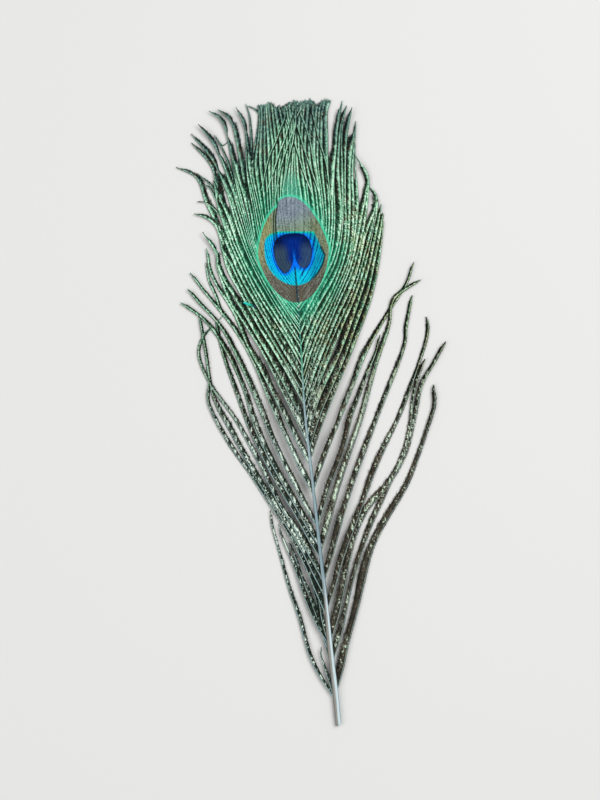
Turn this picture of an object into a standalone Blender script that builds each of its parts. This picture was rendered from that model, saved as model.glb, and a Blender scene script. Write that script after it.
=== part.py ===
"""A loose peacock feather with a cut quill, lying on its back with the eye side up.

The feather grew as one piece, so it is one solid: the tapered shaft, the closed vane round
the eye as a sheet of pleated locks, and the loose barbs, each a thin blade out to its tip.
The quill starts at -Y and the vane's trimmed end is at +Y. The surface it lies on is z = 0.
"""

import math

import bmesh
import bpy
from mathutils import Vector

MM = 0.001

# Lengths below are in millimetres. A route is a list of (across, along) points from the
# shaft to the barb's tip, measured from the middle of the quill's cut end.
BOX_CENTRE = (5.5, 138.5)

SHAFT_LINE = [(0, 0), (0, 16.5), (-0.5, 33.5), (-0.5, 55.5), (-1, 79.5), (-1.5, 109.5),
              (-2, 140), (-1, 170.5), (-0.5, 192.5), (-0.5, 209)]
# (along, width): the quill keeps its width, narrows above it, and then tapers to a hair.
SHAFT_WIDTHS = [(0, 2.7), (32, 2.7), (58, 1.85), (110, 1.5), (160, 1.15), (209, 0.5)]
DEPTH_SHARE = 0.92
SHAFT_STATIONS = 20
SHAFT_SIDES = 8
QUILL_ROUNDING = 0.35

ARCH_HEIGHT = 4.5
ARCH_END = 195.0
SHAFT_CLEARANCE = 0.12
CLEARANCE_RUN = 60.0

VANE_REST = 0.35
FALL_LENGTH = 75.0

LOCKS_A_SIDE = 24
VANE_STATIONS = 8
VALLEY_RISE = 0.15
RIDGE_RISE = 0.55
VANE_BELLY = 0.35
VALLEY_SHARE = 0.93
RIDGE_END_GAP = 0.02

BLADE_DEPTH = 0.35
FREE_TIP_START = 0.6
FREE_TIP_HALF_WIDTH = 0.75
FREE_TIP_LIFT = 0.1
BLADE_SPACING = 7.5
FEWEST_BLADE_STATIONS = 5
ROOT_NARROWNESS = 0.4
ROOT_SWELL_RATE = 6.0
TIP_NARROWING = 0.5
TIP_NARROWING_START = 0.75

# Closed vane, from the lowest route on each side up to the one straight above the shaft.
# Each route has the share of its length at which it leaves the closed vane as a free tip.
LEFT_VANE = [
    (0.84, [(-2, 124.5), (-8, 140.5), (-15, 158.5), (-23.5, 177), (-31, 192), (-34.5, 205.5),
            (-34.5, 212.5), (-39.5, 222)]),
    (0.84, [(-2, 142), (-8.5, 157), (-17, 175), (-25.5, 193.5), (-30.5, 205.5), (-33, 222),
            (-37, 227.5), (-42.5, 230)]),
    (0.80, [(-1.5, 151), (-8.5, 165.5), (-17.5, 184.5), (-25.5, 202.5), (-31, 220),
            (-36.5, 234), (-40, 246), (-48.5, 251.5)]),
    (0.84, [(-1.5, 159.5), (-9, 175.5), (-19, 195.5), (-26, 215), (-31, 233), (-33, 249.5),
            (-41, 261.5)]),
    (0.82, [(-1, 167), (-9, 183), (-18.5, 203.5), (-24, 220.5), (-27.5, 238.5), (-32.5, 253),
            (-40.5, 265.5)]),
    (0.72, [(-1, 173.5), (-9, 189), (-18, 209), (-22, 224.5), (-26, 243), (-30.5, 259),
            (-37, 269.5)]),
    (0.76, [(-0.5, 179), (-9.5, 194), (-17, 211), (-19.5, 227), (-22.5, 243.5), (-24.5, 261),
            (-27, 270), (-32, 274.5)]),
    (0.76, [(-0.5, 183.5), (-10, 197.5), (-16, 214), (-17.5, 229.5), (-20, 245.5),
            (-21.5, 262), (-23, 270), (-28, 275)]),
    (0.72, [(-0.5, 186.5), (-10, 200), (-14, 216), (-15.5, 231.5), (-17.5, 246), (-17, 264),
            (-20, 275.5)]),
    (1.0, [(-0.5, 189.5), (-9, 203), (-11.5, 219.5), (-13, 236), (-14, 250), (-11.5, 262),
           (-10, 270), (-10, 277)]),
    (1.0, [(-0.5, 194), (-7, 206.5), (-9, 222), (-8.5, 237.5), (-7.5, 253), (-7, 266),
           (-6.5, 277)]),
    (1.0, [(-0.5, 199.5), (-4.5, 211.5), (-5.5, 227), (-4.5, 242.5), (-2, 254.5), (-2.5, 266),
           (-3, 275)]),
    (1.0, [(-0.5, 205), (-2.5, 217), (-3, 235), (0, 250), (1.5, 263), (0, 275)]),
    (1.0, [(-0.5, 209), (0.5, 226), (1.5, 241), (3, 254), (3.5, 265), (3.5, 276.5)]),
]
RIGHT_VANE = [
    (1.0, [(-1.5, 117.5), (5, 132.5), (15, 151.5), (23, 167.5), (31.5, 185.5), (37, 204),
           (40.5, 219.5)]),
    (0.95, [(-1.5, 129), (5, 144.5), (14, 160.5), (23, 178), (31, 196.5), (37.5, 216.5),
            (40, 227)]),
    (0.93, [(-1.5, 139.5), (6, 156), (15, 173.5), (25, 191.5), (32, 209.5), (37.5, 224),
            (38.5, 231), (35.5, 235.5)]),
    (0.9, [(-1.5, 148.5), (6, 164.5), (15, 181.5), (24.5, 199), (31, 215.5), (34.5, 230),
           (35.5, 240), (30.5, 250)]),
    (1.0, [(-1, 158.5), (6, 174), (16, 190.5), (24.5, 207), (28, 225.5), (29, 245),
           (32, 264.5)]),
    (1.0, [(-1, 168.5), (7.5, 184), (17.5, 199), (23, 215), (25, 234.5), (27, 254),
           (31, 270.5)]),
    (1.0, [(-1, 177.5), (8.5, 192), (17.5, 206.5), (22, 224), (23, 246), (25.5, 261),
           (29, 271.5)]),
    (1.0, [(-0.5, 183.5), (8, 194), (16, 207), (19, 222), (20.5, 241.5), (23.5, 259),
           (27, 274)]),
    (1.0, [(-0.5, 188.5), (7.5, 197.5), (14, 209), (16.5, 222), (16.5, 239.5), (17.5, 257.5),
           (21, 275.5)]),
    (1.0, [(-0.5, 193.5), (7.5, 205), (12, 220.5), (12, 235.5), (11, 253.5), (15, 276)]),
    (1.0, [(-0.5, 199.5), (5.5, 210.5), (8.5, 225), (8, 240.5), (7.5, 256), (11, 276.5)]),
    (1.0, [(-0.5, 205), (4, 216), (5.5, 230.5), (5, 247.5), (5.5, 263), (7.5, 275.5)]),
    LEFT_VANE[-1],
]
# The dark slot in the crown: the valley between these two right routes stops early.
CROWN_SLOT = (7.0, 8.0, 0.66)

# Loose barbs: widest half-width, then the route.
LOOSE_BARBS = {
    "left_upper": (1.1, [(-1, 113), (-8, 131.5), (-15, 150), (-23, 168.5), (-28.5, 184.5),
                         (-36, 201.5), (-38.5, 214.5)]),
    "left_hooked": (1.1, [(-1.5, 101.5), (-6.5, 116), (-15, 141), (-21, 159.5),
                          (-28.5, 177.5), (-38, 192.5), (-46.5, 204.5)]),
    "left_straight": (1.1, [(-1, 87.5), (-8, 105), (-15, 123.5), (-21, 142), (-27.5, 161),
                            (-35, 180.5), (-48.5, 197.5)]),
    "left_widest": (1.2, [(-1, 79), (-8.5, 97), (-17, 116), (-23.5, 134.5), (-27.5, 152.5),
                          (-34, 170), (-41.5, 183.5), (-52, 191.5)]),
    "left_inner": (1.1, [(-1, 73.5), (-8.5, 92), (-17.5, 110.5), (-24, 127.5), (-29.5, 145.5),
                         (-34, 163.5), (-38, 182.5)]),
    "left_looped": (1.0, [(-1, 64.5), (-8, 83), (-17, 101.5), (-24.5, 120.5), (-32.5, 138),
                          (-41, 153), (-45.5, 167), (-43.5, 176), (-40, 179.5)]),
    "left_crossing": (1.1, [(-1, 57.5), (-7.5, 77), (-16.5, 95), (-26.5, 114), (-34.5, 133),
                            (-41, 150), (-42.5, 171.5), (-44.5, 185.5)]),
    "left_outer": (1.1, [(-1, 49), (-7, 70.5), (-15.5, 90), (-25.5, 109.5), (-35.5, 127.5),
                         (-43, 146), (-43, 156)]),
    "left_low": (1.1, [(-0.5, 34.5), (-6.5, 49.5), (-11.5, 67), (-16, 83.5), (-18, 91)]),
    "left_lowest": (1.1, [(0, 10.5), (-8.5, 29), (-12.5, 49), (-17, 69), (-20.5, 88.5),
                          (-21.5, 97)]),
    "right_forked": (1.0, [(-1.5, 103.5), (3.5, 116.5), (12, 133.5), (24.5, 158.5),
                           (37, 177.5), (47.5, 191.5), (52, 200)]),
    "right_short": (1.3, [(-0.5, 89), (4.5, 104), (12.5, 121), (18.5, 137), (27, 154),
                          (34, 169.5)]),
    "right_bent": (1.4, [(0, 78), (7, 99), (16, 120.5), (24, 139.5), (31.5, 159), (38, 173.5),
                         (41.5, 185.5), (54, 192)]),
    "right_middle": (1.3, [(0, 64.5), (6.5, 83), (15, 104), (25, 124.5), (33, 142),
                           (43.5, 163.5), (45.5, 172.5), (50, 185.5)]),
    "right_long": (1.4, [(1.5, 55.5), (7.5, 72.5), (16.5, 91.5), (27.5, 114), (41, 137),
                         (49, 155), (55, 170), (55, 175.5)]),
    "right_twisted": (1.6, [(0.5, 38), (7, 59.5), (14, 82), (21, 94.5), (30.5, 103.5),
                            (40, 117), (45.5, 133), (50.5, 148), (63, 163.5)]),
    "right_tangled": (1.3, [(0.5, 29), (5.5, 44), (12, 64.5), (21, 85), (29.5, 99.5),
                            (41, 120.5), (46.5, 144), (53, 157)]),
    "right_outer": (1.5, [(0.5, 14), (6, 34), (13.5, 54.5), (21.5, 76), (30.5, 90.5),
                          (39, 102.5), (45.5, 115.5), (52, 130.5), (55, 138), (55.5, 145.5)]),
}

FEATHER_COLOUR = (0.16, 0.30, 0.17, 1.0)
FEATHER_ROUGHNESS = 0.45
FEATHER_METALLIC = 0.3

CURVE_STEPS = 8
HEADING_STEP = 0.01


def clear_scene():
    for obj in list(bpy.data.objects):
        bpy.data.objects.remove(obj, do_unlink=True)


def smooth_step(share):
    share = min(max(share, 0.0), 1.0)
    return share * share * (3.0 - 2.0 * share)


def curve_through(points, steps=CURVE_STEPS):
    """Many points on the smooth curve that passes through all the given ones."""
    ends = [2 * points[0] - points[1]] + points + [2 * points[-1] - points[-2]]
    found = []
    for before, start, end, after in zip(ends, ends[1:], ends[2:], ends[3:]):
        for step in range(steps):
            t = step / steps
            found.append(0.5 * (2 * start + (end - before) * t
                                + (2 * before - 5 * start + 4 * end - after) * t * t
                                + (3 * start - before - 3 * end + after) * t * t * t))
    return found + [points[-1]]


class Route:
    """A smooth flat curve that can be read at any share of its length."""

    def __init__(self, points):
        self.points = curve_through([Vector(point) for point in points])
        self.reach = [0.0]
        for start, end in zip(self.points, self.points[1:]):
            self.reach.append(self.reach[-1] + (end - start).length)
        self.length = self.reach[-1]

    def at(self, share):
        wanted = min(max(share, 0.0), 1.0) * self.length
        for index in range(1, len(self.reach)):
            if self.reach[index] >= wanted:
                break
        span = self.reach[index] - self.reach[index - 1]
        part = (wanted - self.reach[index - 1]) / span
        return self.points[index - 1].lerp(self.points[index], part)

    def heading(self, share):
        """Unit direction of travel."""
        return (self.at(share + HEADING_STEP) - self.at(share - HEADING_STEP)).normalized()


def shaft_size(along):
    """Width and depth of the shaft, which tapers from the quill to a hair in the eye."""
    width = SHAFT_WIDTHS[-1][1]
    for (start, wide), (end, narrow) in zip(SHAFT_WIDTHS, SHAFT_WIDTHS[1:]):
        if along < end:
            width = wide + (narrow - wide) * smooth_step((along - start) / (end - start))
            break
    return width, width * DEPTH_SHARE


def shaft_underside(along):
    """Height of the shaft's underside: down at the quill and at the head, arched between."""
    arch = math.sin(math.pi * min(along / ARCH_END, 1.0)) ** 2
    return ARCH_HEIGHT * arch + SHAFT_CLEARANCE * smooth_step(along / CLEARANCE_RUN)


def shaft_middle(along):
    return shaft_underside(along) + shaft_size(along)[1] / 2


def barb_height(root_along, travelled):
    """Height of a barb's middle: it leaves the shaft and droops to the surface."""
    rise = max(shaft_middle(root_along) - shaft_middle(ARCH_END), 0.0)
    return VANE_REST + rise * (1.0 - smooth_step(travelled / FALL_LENGTH))


def place(across, along, height):
    """Metres, in the feather's own frame."""
    return Vector((across - BOX_CENTRE[0], along - BOX_CENTRE[1], height)) * MM


def new_object(name, bm):
    bmesh.ops.recalc_face_normals(bm, faces=bm.faces)
    mesh = bpy.data.meshes.new(name)
    bm.to_mesh(mesh)
    bm.free()
    obj = bpy.data.objects.new(name, mesh)
    return obj


def bridge(bm, ring, next_ring):
    count = len(ring)
    for index in range(count):
        after = (index + 1) % count
        bm.faces.new((ring[index], ring[after], next_ring[after], next_ring[index]))


def shaft_object():
    """Eight-sided tapered rod, rounded at the cut, ending in a point inside the vane."""
    route = Route(SHAFT_LINE)
    bm = bmesh.new()
    rings = []
    for station in range(SHAFT_STATIONS):
        share = station / SHAFT_STATIONS
        middle = route.at(share)
        heading = route.heading(share)
        width, depth = shaft_size(middle.y)
        trim = 1.0 - QUILL_ROUNDING if station == 0 else 1.0
        underside = shaft_underside(middle.y)
        ring = []
        for side in range(SHAFT_SIDES):
            turn = 2 * math.pi * (side + 0.5) / SHAFT_SIDES
            out = trim * math.cos(turn) * width / 2 / math.cos(math.pi / SHAFT_SIDES)
            up = trim * math.sin(turn) * depth / 2 / math.cos(math.pi / SHAFT_SIDES)
            ring.append(bm.verts.new(place(middle.x + heading.y * out,
                                           middle.y - heading.x * out,
                                           underside + depth / 2 + up)))
        rings.append(ring)
    for ring, next_ring in zip(rings, rings[1:]):
        bridge(bm, ring, next_ring)
    bm.faces.new(rings[0])
    end = route.at(1.0)
    tip = bm.verts.new(place(end.x, end.y, shaft_middle(end.y)))
    for index in range(SHAFT_SIDES):
        bm.faces.new((rings[-1][index], rings[-1][(index + 1) % SHAFT_SIDES], tip))
    return new_object("feather", bm)


def between(routes, place_in_list, share):
    """A point between two neighbouring routes of a vane."""
    index = min(int(place_in_list), len(routes) - 2)
    part = place_in_list - index
    return routes[index].at(share).lerp(routes[index + 1].at(share), part)


class VaneSide:
    """One half of the closed vane, read by a lock's place in it and a share of its length."""

    def __init__(self, side):
        self.routes = [Route(points) for _, points in side]
        self.closed = [closed for closed, _ in side]
        self.last = len(side) - 1

    def closed_share(self, place_in_list):
        index = min(int(place_in_list), self.last - 1)
        part = place_in_list - index
        return self.closed[index] * (1 - part) + self.closed[index + 1] * part

    def point(self, place_in_list, share, rise, root_along):
        flat = between(self.routes, place_in_list, share)
        root = between(self.routes, place_in_list, 0.0)
        height = barb_height(root_along, (flat - root).length)
        return place(flat.x, flat.y, height + rise)


def valley_end(side, place_in_list, slot):
    end = side.closed_share(place_in_list) * VALLEY_SHARE
    if slot and slot[0] < place_in_list < slot[1]:
        return slot[2]
    return end


def vane_object():
    """The closed vane: a sheet pleated into locks that fan out from the shaft's line.

    Each lock has a ridge between two valleys and ends in a point. The sheet's top and
    bottom meet in a sharp edge all round, and its two halves share the shaft's line.
    """
    left, right = VaneSide(LEFT_VANE), VaneSide(RIGHT_VANE)
    bm = bmesh.new()
    roots = []
    for line in range(LOCKS_A_SIDE + 1):
        share = line / LOCKS_A_SIDE
        root = between(left.routes, share * left.last, 0.0).lerp(
            between(right.routes, share * right.last, 0.0), 0.5)
        height = barb_height(root.y, 0.0)
        if line == 0:
            edge = bm.verts.new(place(root.x, root.y, height))
            roots.append((edge, edge, root.y))
            continue
        top = bm.verts.new(place(root.x, root.y, height + VALLEY_RISE))
        bottom = bm.verts.new(place(root.x, root.y, height - VANE_BELLY))
        roots.append((top, bottom, root.y))

    axis_line = None
    for side, slot in ((left, None), (right, CROWN_SLOT)):
        lines = []
        for line in range(LOCKS_A_SIDE + 1):
            if line == LOCKS_A_SIDE and axis_line:
                lines.append(axis_line)
                continue
            lines.append(valley_line(bm, side, line, roots[line], slot))
        axis_line = lines[-1]
        for lock in range(LOCKS_A_SIDE):
            add_lock(bm, side, lock, lines[lock], lines[lock + 1], roots)
    return new_object("vane_sheet", bm)


def valley_line(bm, side, line, root, slot):
    """Top and bottom vertices of a valley, from its root to the vane's edge."""
    where = side.last * line / LOCKS_A_SIDE
    end = valley_end(side, where, slot)
    found = [root[:2]]
    for station in range(1, VANE_STATIONS + 1):
        share = end * station / VANE_STATIONS
        if line == 0 or station == VANE_STATIONS:
            edge = bm.verts.new(side.point(where, share, 0.0, root[2]))
            found.append((edge, edge))
            continue
        top = bm.verts.new(side.point(where, share, VALLEY_RISE, root[2]))
        bottom = bm.verts.new(side.point(where, share, -VANE_BELLY, root[2]))
        found.append((top, bottom))
    return found


def add_face(bm, *corners):
    """A face of the different vertices among the corners."""
    found = []
    for corner in corners:
        if corner not in found:
            found.append(corner)
    if len(found) > 2:
        bm.faces.new(found)


def add_lock(bm, side, lock, line, next_line, roots):
    """The faces of one lock: a ridge over a flat belly, closed to a point at its end."""
    where = side.last * (lock + 0.5) / LOCKS_A_SIDE
    closed = side.closed_share(where)
    root_along = (roots[lock][2] + roots[lock + 1][2]) / 2
    ridge = []
    for station in range(1, VANE_STATIONS + 1):
        share = closed * VALLEY_SHARE * station / VANE_STATIONS
        if station == VANE_STATIONS:
            share = closed * (VALLEY_SHARE - RIDGE_END_GAP)
        ridge.append(bm.verts.new(side.point(where, share, RIDGE_RISE, root_along)))
    tip = bm.verts.new(side.point(where, closed, 0.0, root_along))

    add_face(bm, line[0][0], next_line[0][0], ridge[0])
    add_face(bm, line[0][0], ridge[0], line[1][0])
    add_face(bm, next_line[0][0], next_line[1][0], ridge[0])
    add_face(bm, line[0][1], line[1][1], next_line[1][1], next_line[0][1])
    for station in range(1, VANE_STATIONS):
        near, far = ridge[station - 1], ridge[station]
        add_face(bm, line[station][0], near, far, line[station + 1][0])
        add_face(bm, near, next_line[station][0], next_line[station + 1][0], far)
        add_face(bm, line[station][1], line[station + 1][1], next_line[station + 1][1],
                 next_line[station][1])
    add_face(bm, line[-1][0], ridge[-1], tip)
    add_face(bm, ridge[-1], next_line[-1][0], tip)
    add_face(bm, line[-1][1], tip, next_line[-1][1])


def blade_object(name, points, half_width, start=0.0, root_along=None, lift=0.0):
    """One barb as a flat four-sided blade that narrows at its root and ends in a point."""
    route = Route(points)
    if root_along is None:
        root_along = points[0][1]
    stations = max(FEWEST_BLADE_STATIONS, round(route.length * (1 - start) / BLADE_SPACING))
    bm = bmesh.new()
    rings = []
    for station in range(stations):
        share = start + (1 - start) * station / stations
        middle = route.at(share)
        heading = route.heading(share)
        height = barb_height(root_along, share * route.length) + lift
        swell = smooth_step((share - start) * ROOT_SWELL_RATE)
        ending = smooth_step((share - TIP_NARROWING_START) / (1 - TIP_NARROWING_START))
        out = half_width * (ROOT_NARROWNESS + (1 - ROOT_NARROWNESS) * swell)
        out *= 1 - TIP_NARROWING * ending
        rings.append([
            bm.verts.new(place(middle.x - heading.y * out, middle.y + heading.x * out, height)),
            bm.verts.new(place(middle.x, middle.y, height + BLADE_DEPTH)),
            bm.verts.new(place(middle.x + heading.y * out, middle.y - heading.x * out, height)),
            bm.verts.new(place(middle.x, middle.y, height - BLADE_DEPTH)),
        ])
    for ring, next_ring in zip(rings, rings[1:]):
        bridge(bm, ring, next_ring)
    bm.faces.new(rings[0])
    end = route.at(1.0)
    tip = bm.verts.new(place(end.x, end.y, barb_height(root_along, route.length) + lift))
    for index in range(4):
        bm.faces.new((rings[-1][index], rings[-1][(index + 1) % 4], tip))
    return new_object(name, bm)


def blade_objects():
    blades = []
    for name, (half_width, points) in LOOSE_BARBS.items():
        blades.append(blade_object(f"{name}_barb", points, half_width))
    for side_name, side in (("left", LEFT_VANE), ("right", RIGHT_VANE)):
        for index, (closed, points) in enumerate(side):
            if closed < 1.0:
                blades.append(blade_object(f"{side_name}_tip_{index}", points,
                                           FREE_TIP_HALF_WIDTH, closed * FREE_TIP_START,
                                           lift=FREE_TIP_LIFT))
    return blades


def feather_material():
    material = bpy.data.materials.new("feather")
    material.use_nodes = True
    shader = material.node_tree.nodes["Principled BSDF"]
    shader.inputs["Base Color"].default_value = FEATHER_COLOUR
    shader.inputs["Roughness"].default_value = FEATHER_ROUGHNESS
    shader.inputs["Metallic"].default_value = FEATHER_METALLIC
    return material


def main():
    clear_scene()
    feather = shaft_object()
    bpy.context.scene.collection.objects.link(feather)
    feather.data.materials.append(feather_material())

    barbs = bpy.data.collections.new("barbs")
    bpy.context.scene.collection.children.link(barbs)
    for piece in [vane_object()] + blade_objects():
        barbs.objects.link(piece)
        piece.hide_render = True
        piece.display_type = "WIRE"

    grown = feather.modifiers.new("barbs grown on the shaft", "BOOLEAN")
    grown.operation = "UNION"
    grown.solver = "EXACT"
    grown.operand_type = "COLLECTION"
    grown.collection = barbs


main()
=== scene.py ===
"""The looks of a loose peacock feather that lies on its back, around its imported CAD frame."""

import math
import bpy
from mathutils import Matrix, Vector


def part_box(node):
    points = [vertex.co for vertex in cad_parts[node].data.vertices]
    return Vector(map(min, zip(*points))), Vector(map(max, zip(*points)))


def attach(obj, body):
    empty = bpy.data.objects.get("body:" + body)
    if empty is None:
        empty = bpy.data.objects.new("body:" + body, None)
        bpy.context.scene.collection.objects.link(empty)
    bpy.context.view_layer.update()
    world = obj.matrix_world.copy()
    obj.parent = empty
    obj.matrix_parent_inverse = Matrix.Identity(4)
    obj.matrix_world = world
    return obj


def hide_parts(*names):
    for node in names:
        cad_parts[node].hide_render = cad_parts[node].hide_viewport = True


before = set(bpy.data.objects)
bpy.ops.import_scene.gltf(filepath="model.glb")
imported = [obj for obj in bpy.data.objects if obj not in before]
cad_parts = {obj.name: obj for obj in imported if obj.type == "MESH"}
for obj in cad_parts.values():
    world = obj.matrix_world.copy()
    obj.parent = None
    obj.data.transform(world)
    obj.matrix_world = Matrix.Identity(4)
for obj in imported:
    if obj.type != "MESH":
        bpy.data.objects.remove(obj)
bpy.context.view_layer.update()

from types import SimpleNamespace

import bpy
import numpy as np
from mathutils import Vector

bl_info = {
    "name": "Peacock feather",
    "version": (1, 0, 0),
    "blender": (4, 5, 0),
    "location": "3D View > Sidebar > Feather",
    "description": "Grows the shaft, the vane with its eye and the loose barbs of a feather",
    "category": "Object",
}

MM = 0.001
NODE = "feather"

# Lengths are in millimetres. A route is a list of (across, along) points from the shaft to
# the barb's tip, measured from the middle of the quill's cut end, as in the part's source.
NODE_LOW, NODE_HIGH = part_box(NODE)
BOX_MIDDLE = (5.5, 138.5)
FRAME_MIDDLE = ((NODE_LOW[0] + NODE_HIGH[0]) / 2, (NODE_LOW[1] + NODE_HIGH[1]) / 2)

SHAFT_LINE = [(0, 0), (0, 16.5), (-0.5, 33.5), (-0.5, 55.5), (-1, 79.5), (-1.5, 109.5),
              (-2, 140), (-1, 170.5), (-0.5, 192.5), (-0.5, 209)]
# (along, width) of the shaft.
SHAFT_WIDTHS = [(0, 2.7), (32, 2.7), (58, 1.8), (110, 1.4), (160, 1.0), (190, 0.6), (209, 0.35)]
DEPTH_SHARE = 0.92
ARCH_HEIGHT = 4.5
ARCH_END = 195.0
SHAFT_CLEARANCE = 0.12
CLEARANCE_RUN = 60.0
VANE_REST = 0.35
FALL_LENGTH = 75.0

# Closed vane, from the lowest route on each side up to the one straight above the shaft.
# Each route has the share of its length at which it leaves the closed vane as a free tip.
LEFT_VANE = [
    (0.84, [(-2, 124.5), (-8, 140.5), (-15, 158.5), (-23.5, 177), (-31, 192), (-34.5, 205.5),
            (-34.5, 212.5), (-39.5, 222)]),
    (0.84, [(-2, 142), (-8.5, 157), (-17, 175), (-25.5, 193.5), (-30.5, 205.5), (-33, 222),
            (-37, 227.5), (-42.5, 230)]),
    (0.80, [(-1.5, 151), (-8.5, 165.5), (-17.5, 184.5), (-25.5, 202.5), (-31, 220),
            (-36.5, 234), (-40, 246), (-48.5, 251.5)]),
    (0.84, [(-1.5, 159.5), (-9, 175.5), (-19, 195.5), (-26, 215), (-31, 233), (-33, 249.5),
            (-41, 261.5)]),
    (0.82, [(-1, 167), (-9, 183), (-18.5, 203.5), (-24, 220.5), (-27.5, 238.5), (-32.5, 253),
            (-40.5, 265.5)]),
    (0.72, [(-1, 173.5), (-9, 189), (-18, 209), (-22, 224.5), (-26, 243), (-30.5, 259),
            (-37, 269.5)]),
    (0.76, [(-0.5, 179), (-9.5, 194), (-17, 211), (-19.5, 227), (-22.5, 243.5), (-24.5, 261),
            (-27, 270), (-32, 274.5)]),
    (0.76, [(-0.5, 183.5), (-10, 197.5), (-16, 214), (-17.5, 229.5), (-20, 245.5),
            (-21.5, 262), (-23, 270), (-28, 275)]),
    (0.72, [(-0.5, 186.5), (-10, 200), (-14, 216), (-15.5, 231.5), (-17.5, 246), (-17, 264),
            (-20, 275.5)]),
    (1.0, [(-0.5, 189.5), (-9, 203), (-11.5, 219.5), (-13, 236), (-14, 250), (-11.5, 262),
           (-10, 270), (-10, 277)]),
    (1.0, [(-0.5, 194), (-7, 206.5), (-9, 222), (-8.5, 237.5), (-7.5, 253), (-7, 266),
           (-6.5, 277)]),
    (1.0, [(-0.5, 199.5), (-4.5, 211.5), (-5.5, 227), (-4.5, 242.5), (-2, 254.5), (-2.5, 266),
           (-3, 275)]),
    (1.0, [(-0.5, 205), (-2.5, 217), (-3, 235), (0, 250), (1.5, 263), (0, 275)]),
    (1.0, [(-0.5, 209), (0.5, 226), (1.5, 241), (3, 254), (3.5, 265), (3.5, 276.5)]),
]
RIGHT_VANE = [
    (1.0, [(-1.5, 117.5), (5, 132.5), (15, 151.5), (23, 167.5), (31.5, 185.5), (37, 204),
           (40.5, 219.5)]),
    (0.95, [(-1.5, 129), (5, 144.5), (14, 160.5), (23, 178), (31, 196.5), (37.5, 216.5),
            (40, 227)]),
    (0.93, [(-1.5, 139.5), (6, 156), (15, 173.5), (25, 191.5), (32, 209.5), (37.5, 224),
            (38.5, 231), (35.5, 235.5)]),
    (0.9, [(-1.5, 148.5), (6, 164.5), (15, 181.5), (24.5, 199), (31, 215.5), (34.5, 230),
           (35.5, 240), (30.5, 250)]),
    (0.94, [(-1, 158.5), (6, 174), (16, 190.5), (24.5, 207), (28, 225.5), (29, 245),
           (32, 264.5)]),
    (0.94, [(-1, 168.5), (7.5, 184), (17.5, 199), (23, 215), (25, 234.5), (27, 254),
           (31, 270.5)]),
    (0.94, [(-1, 177.5), (8.5, 192), (17.5, 206.5), (22, 224), (23, 246), (25.5, 261),
           (29, 271.5)]),
    (0.94, [(-0.5, 183.5), (8, 194), (16, 207), (19, 222), (20.5, 241.5), (23.5, 259),
           (27, 274)]),
    (1.0, [(-0.5, 188.5), (7.5, 197.5), (14, 209), (16.5, 222), (17.5, 239.5), (19, 257.5),
           (20, 269.5), (22.7, 275.5)]),
    (1.0, [(-0.5, 193.5), (7.5, 205), (12, 220.5), (12, 235.5), (11, 253.5), (15, 276)]),
    (1.0, [(-0.5, 199.5), (5.5, 210.5), (8.5, 225), (8, 240.5), (7.5, 256), (11, 276.5)]),
    (1.0, [(-0.5, 205), (4, 216), (5.5, 230.5), (5, 247.5), (5.5, 263), (7.5, 275.5)]),
    LEFT_VANE[-1],
]

# Where the crown is cut, as (across, along).
CROWN_EDGE = [(-12, 277), (-9.9, 276.8), (-4.5, 276.8), (-2.6, 274.4), (1.3, 274.3),
              (2.8, 276.4), (4.9, 274.8), (7.2, 276.2), (14.3, 275.9), (16.3, 273.3),
              (18.7, 275.7), (23.2, 275.4), (26, 274.3), (27.6, 273.2), (28.2, 271.4),
              (30.7, 271.5), (31.6, 268.5), (32.2, 264.8), (34, 264)]
# The dark slot in the crown: the barbs between these two right routes part at this share.
CROWN_SLOT = (7.0, 8.0, 0.66)
# The shares between which the left vane's edge barb comes away from the next one.
EDGE_APART = (0.38, 0.5)

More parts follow.
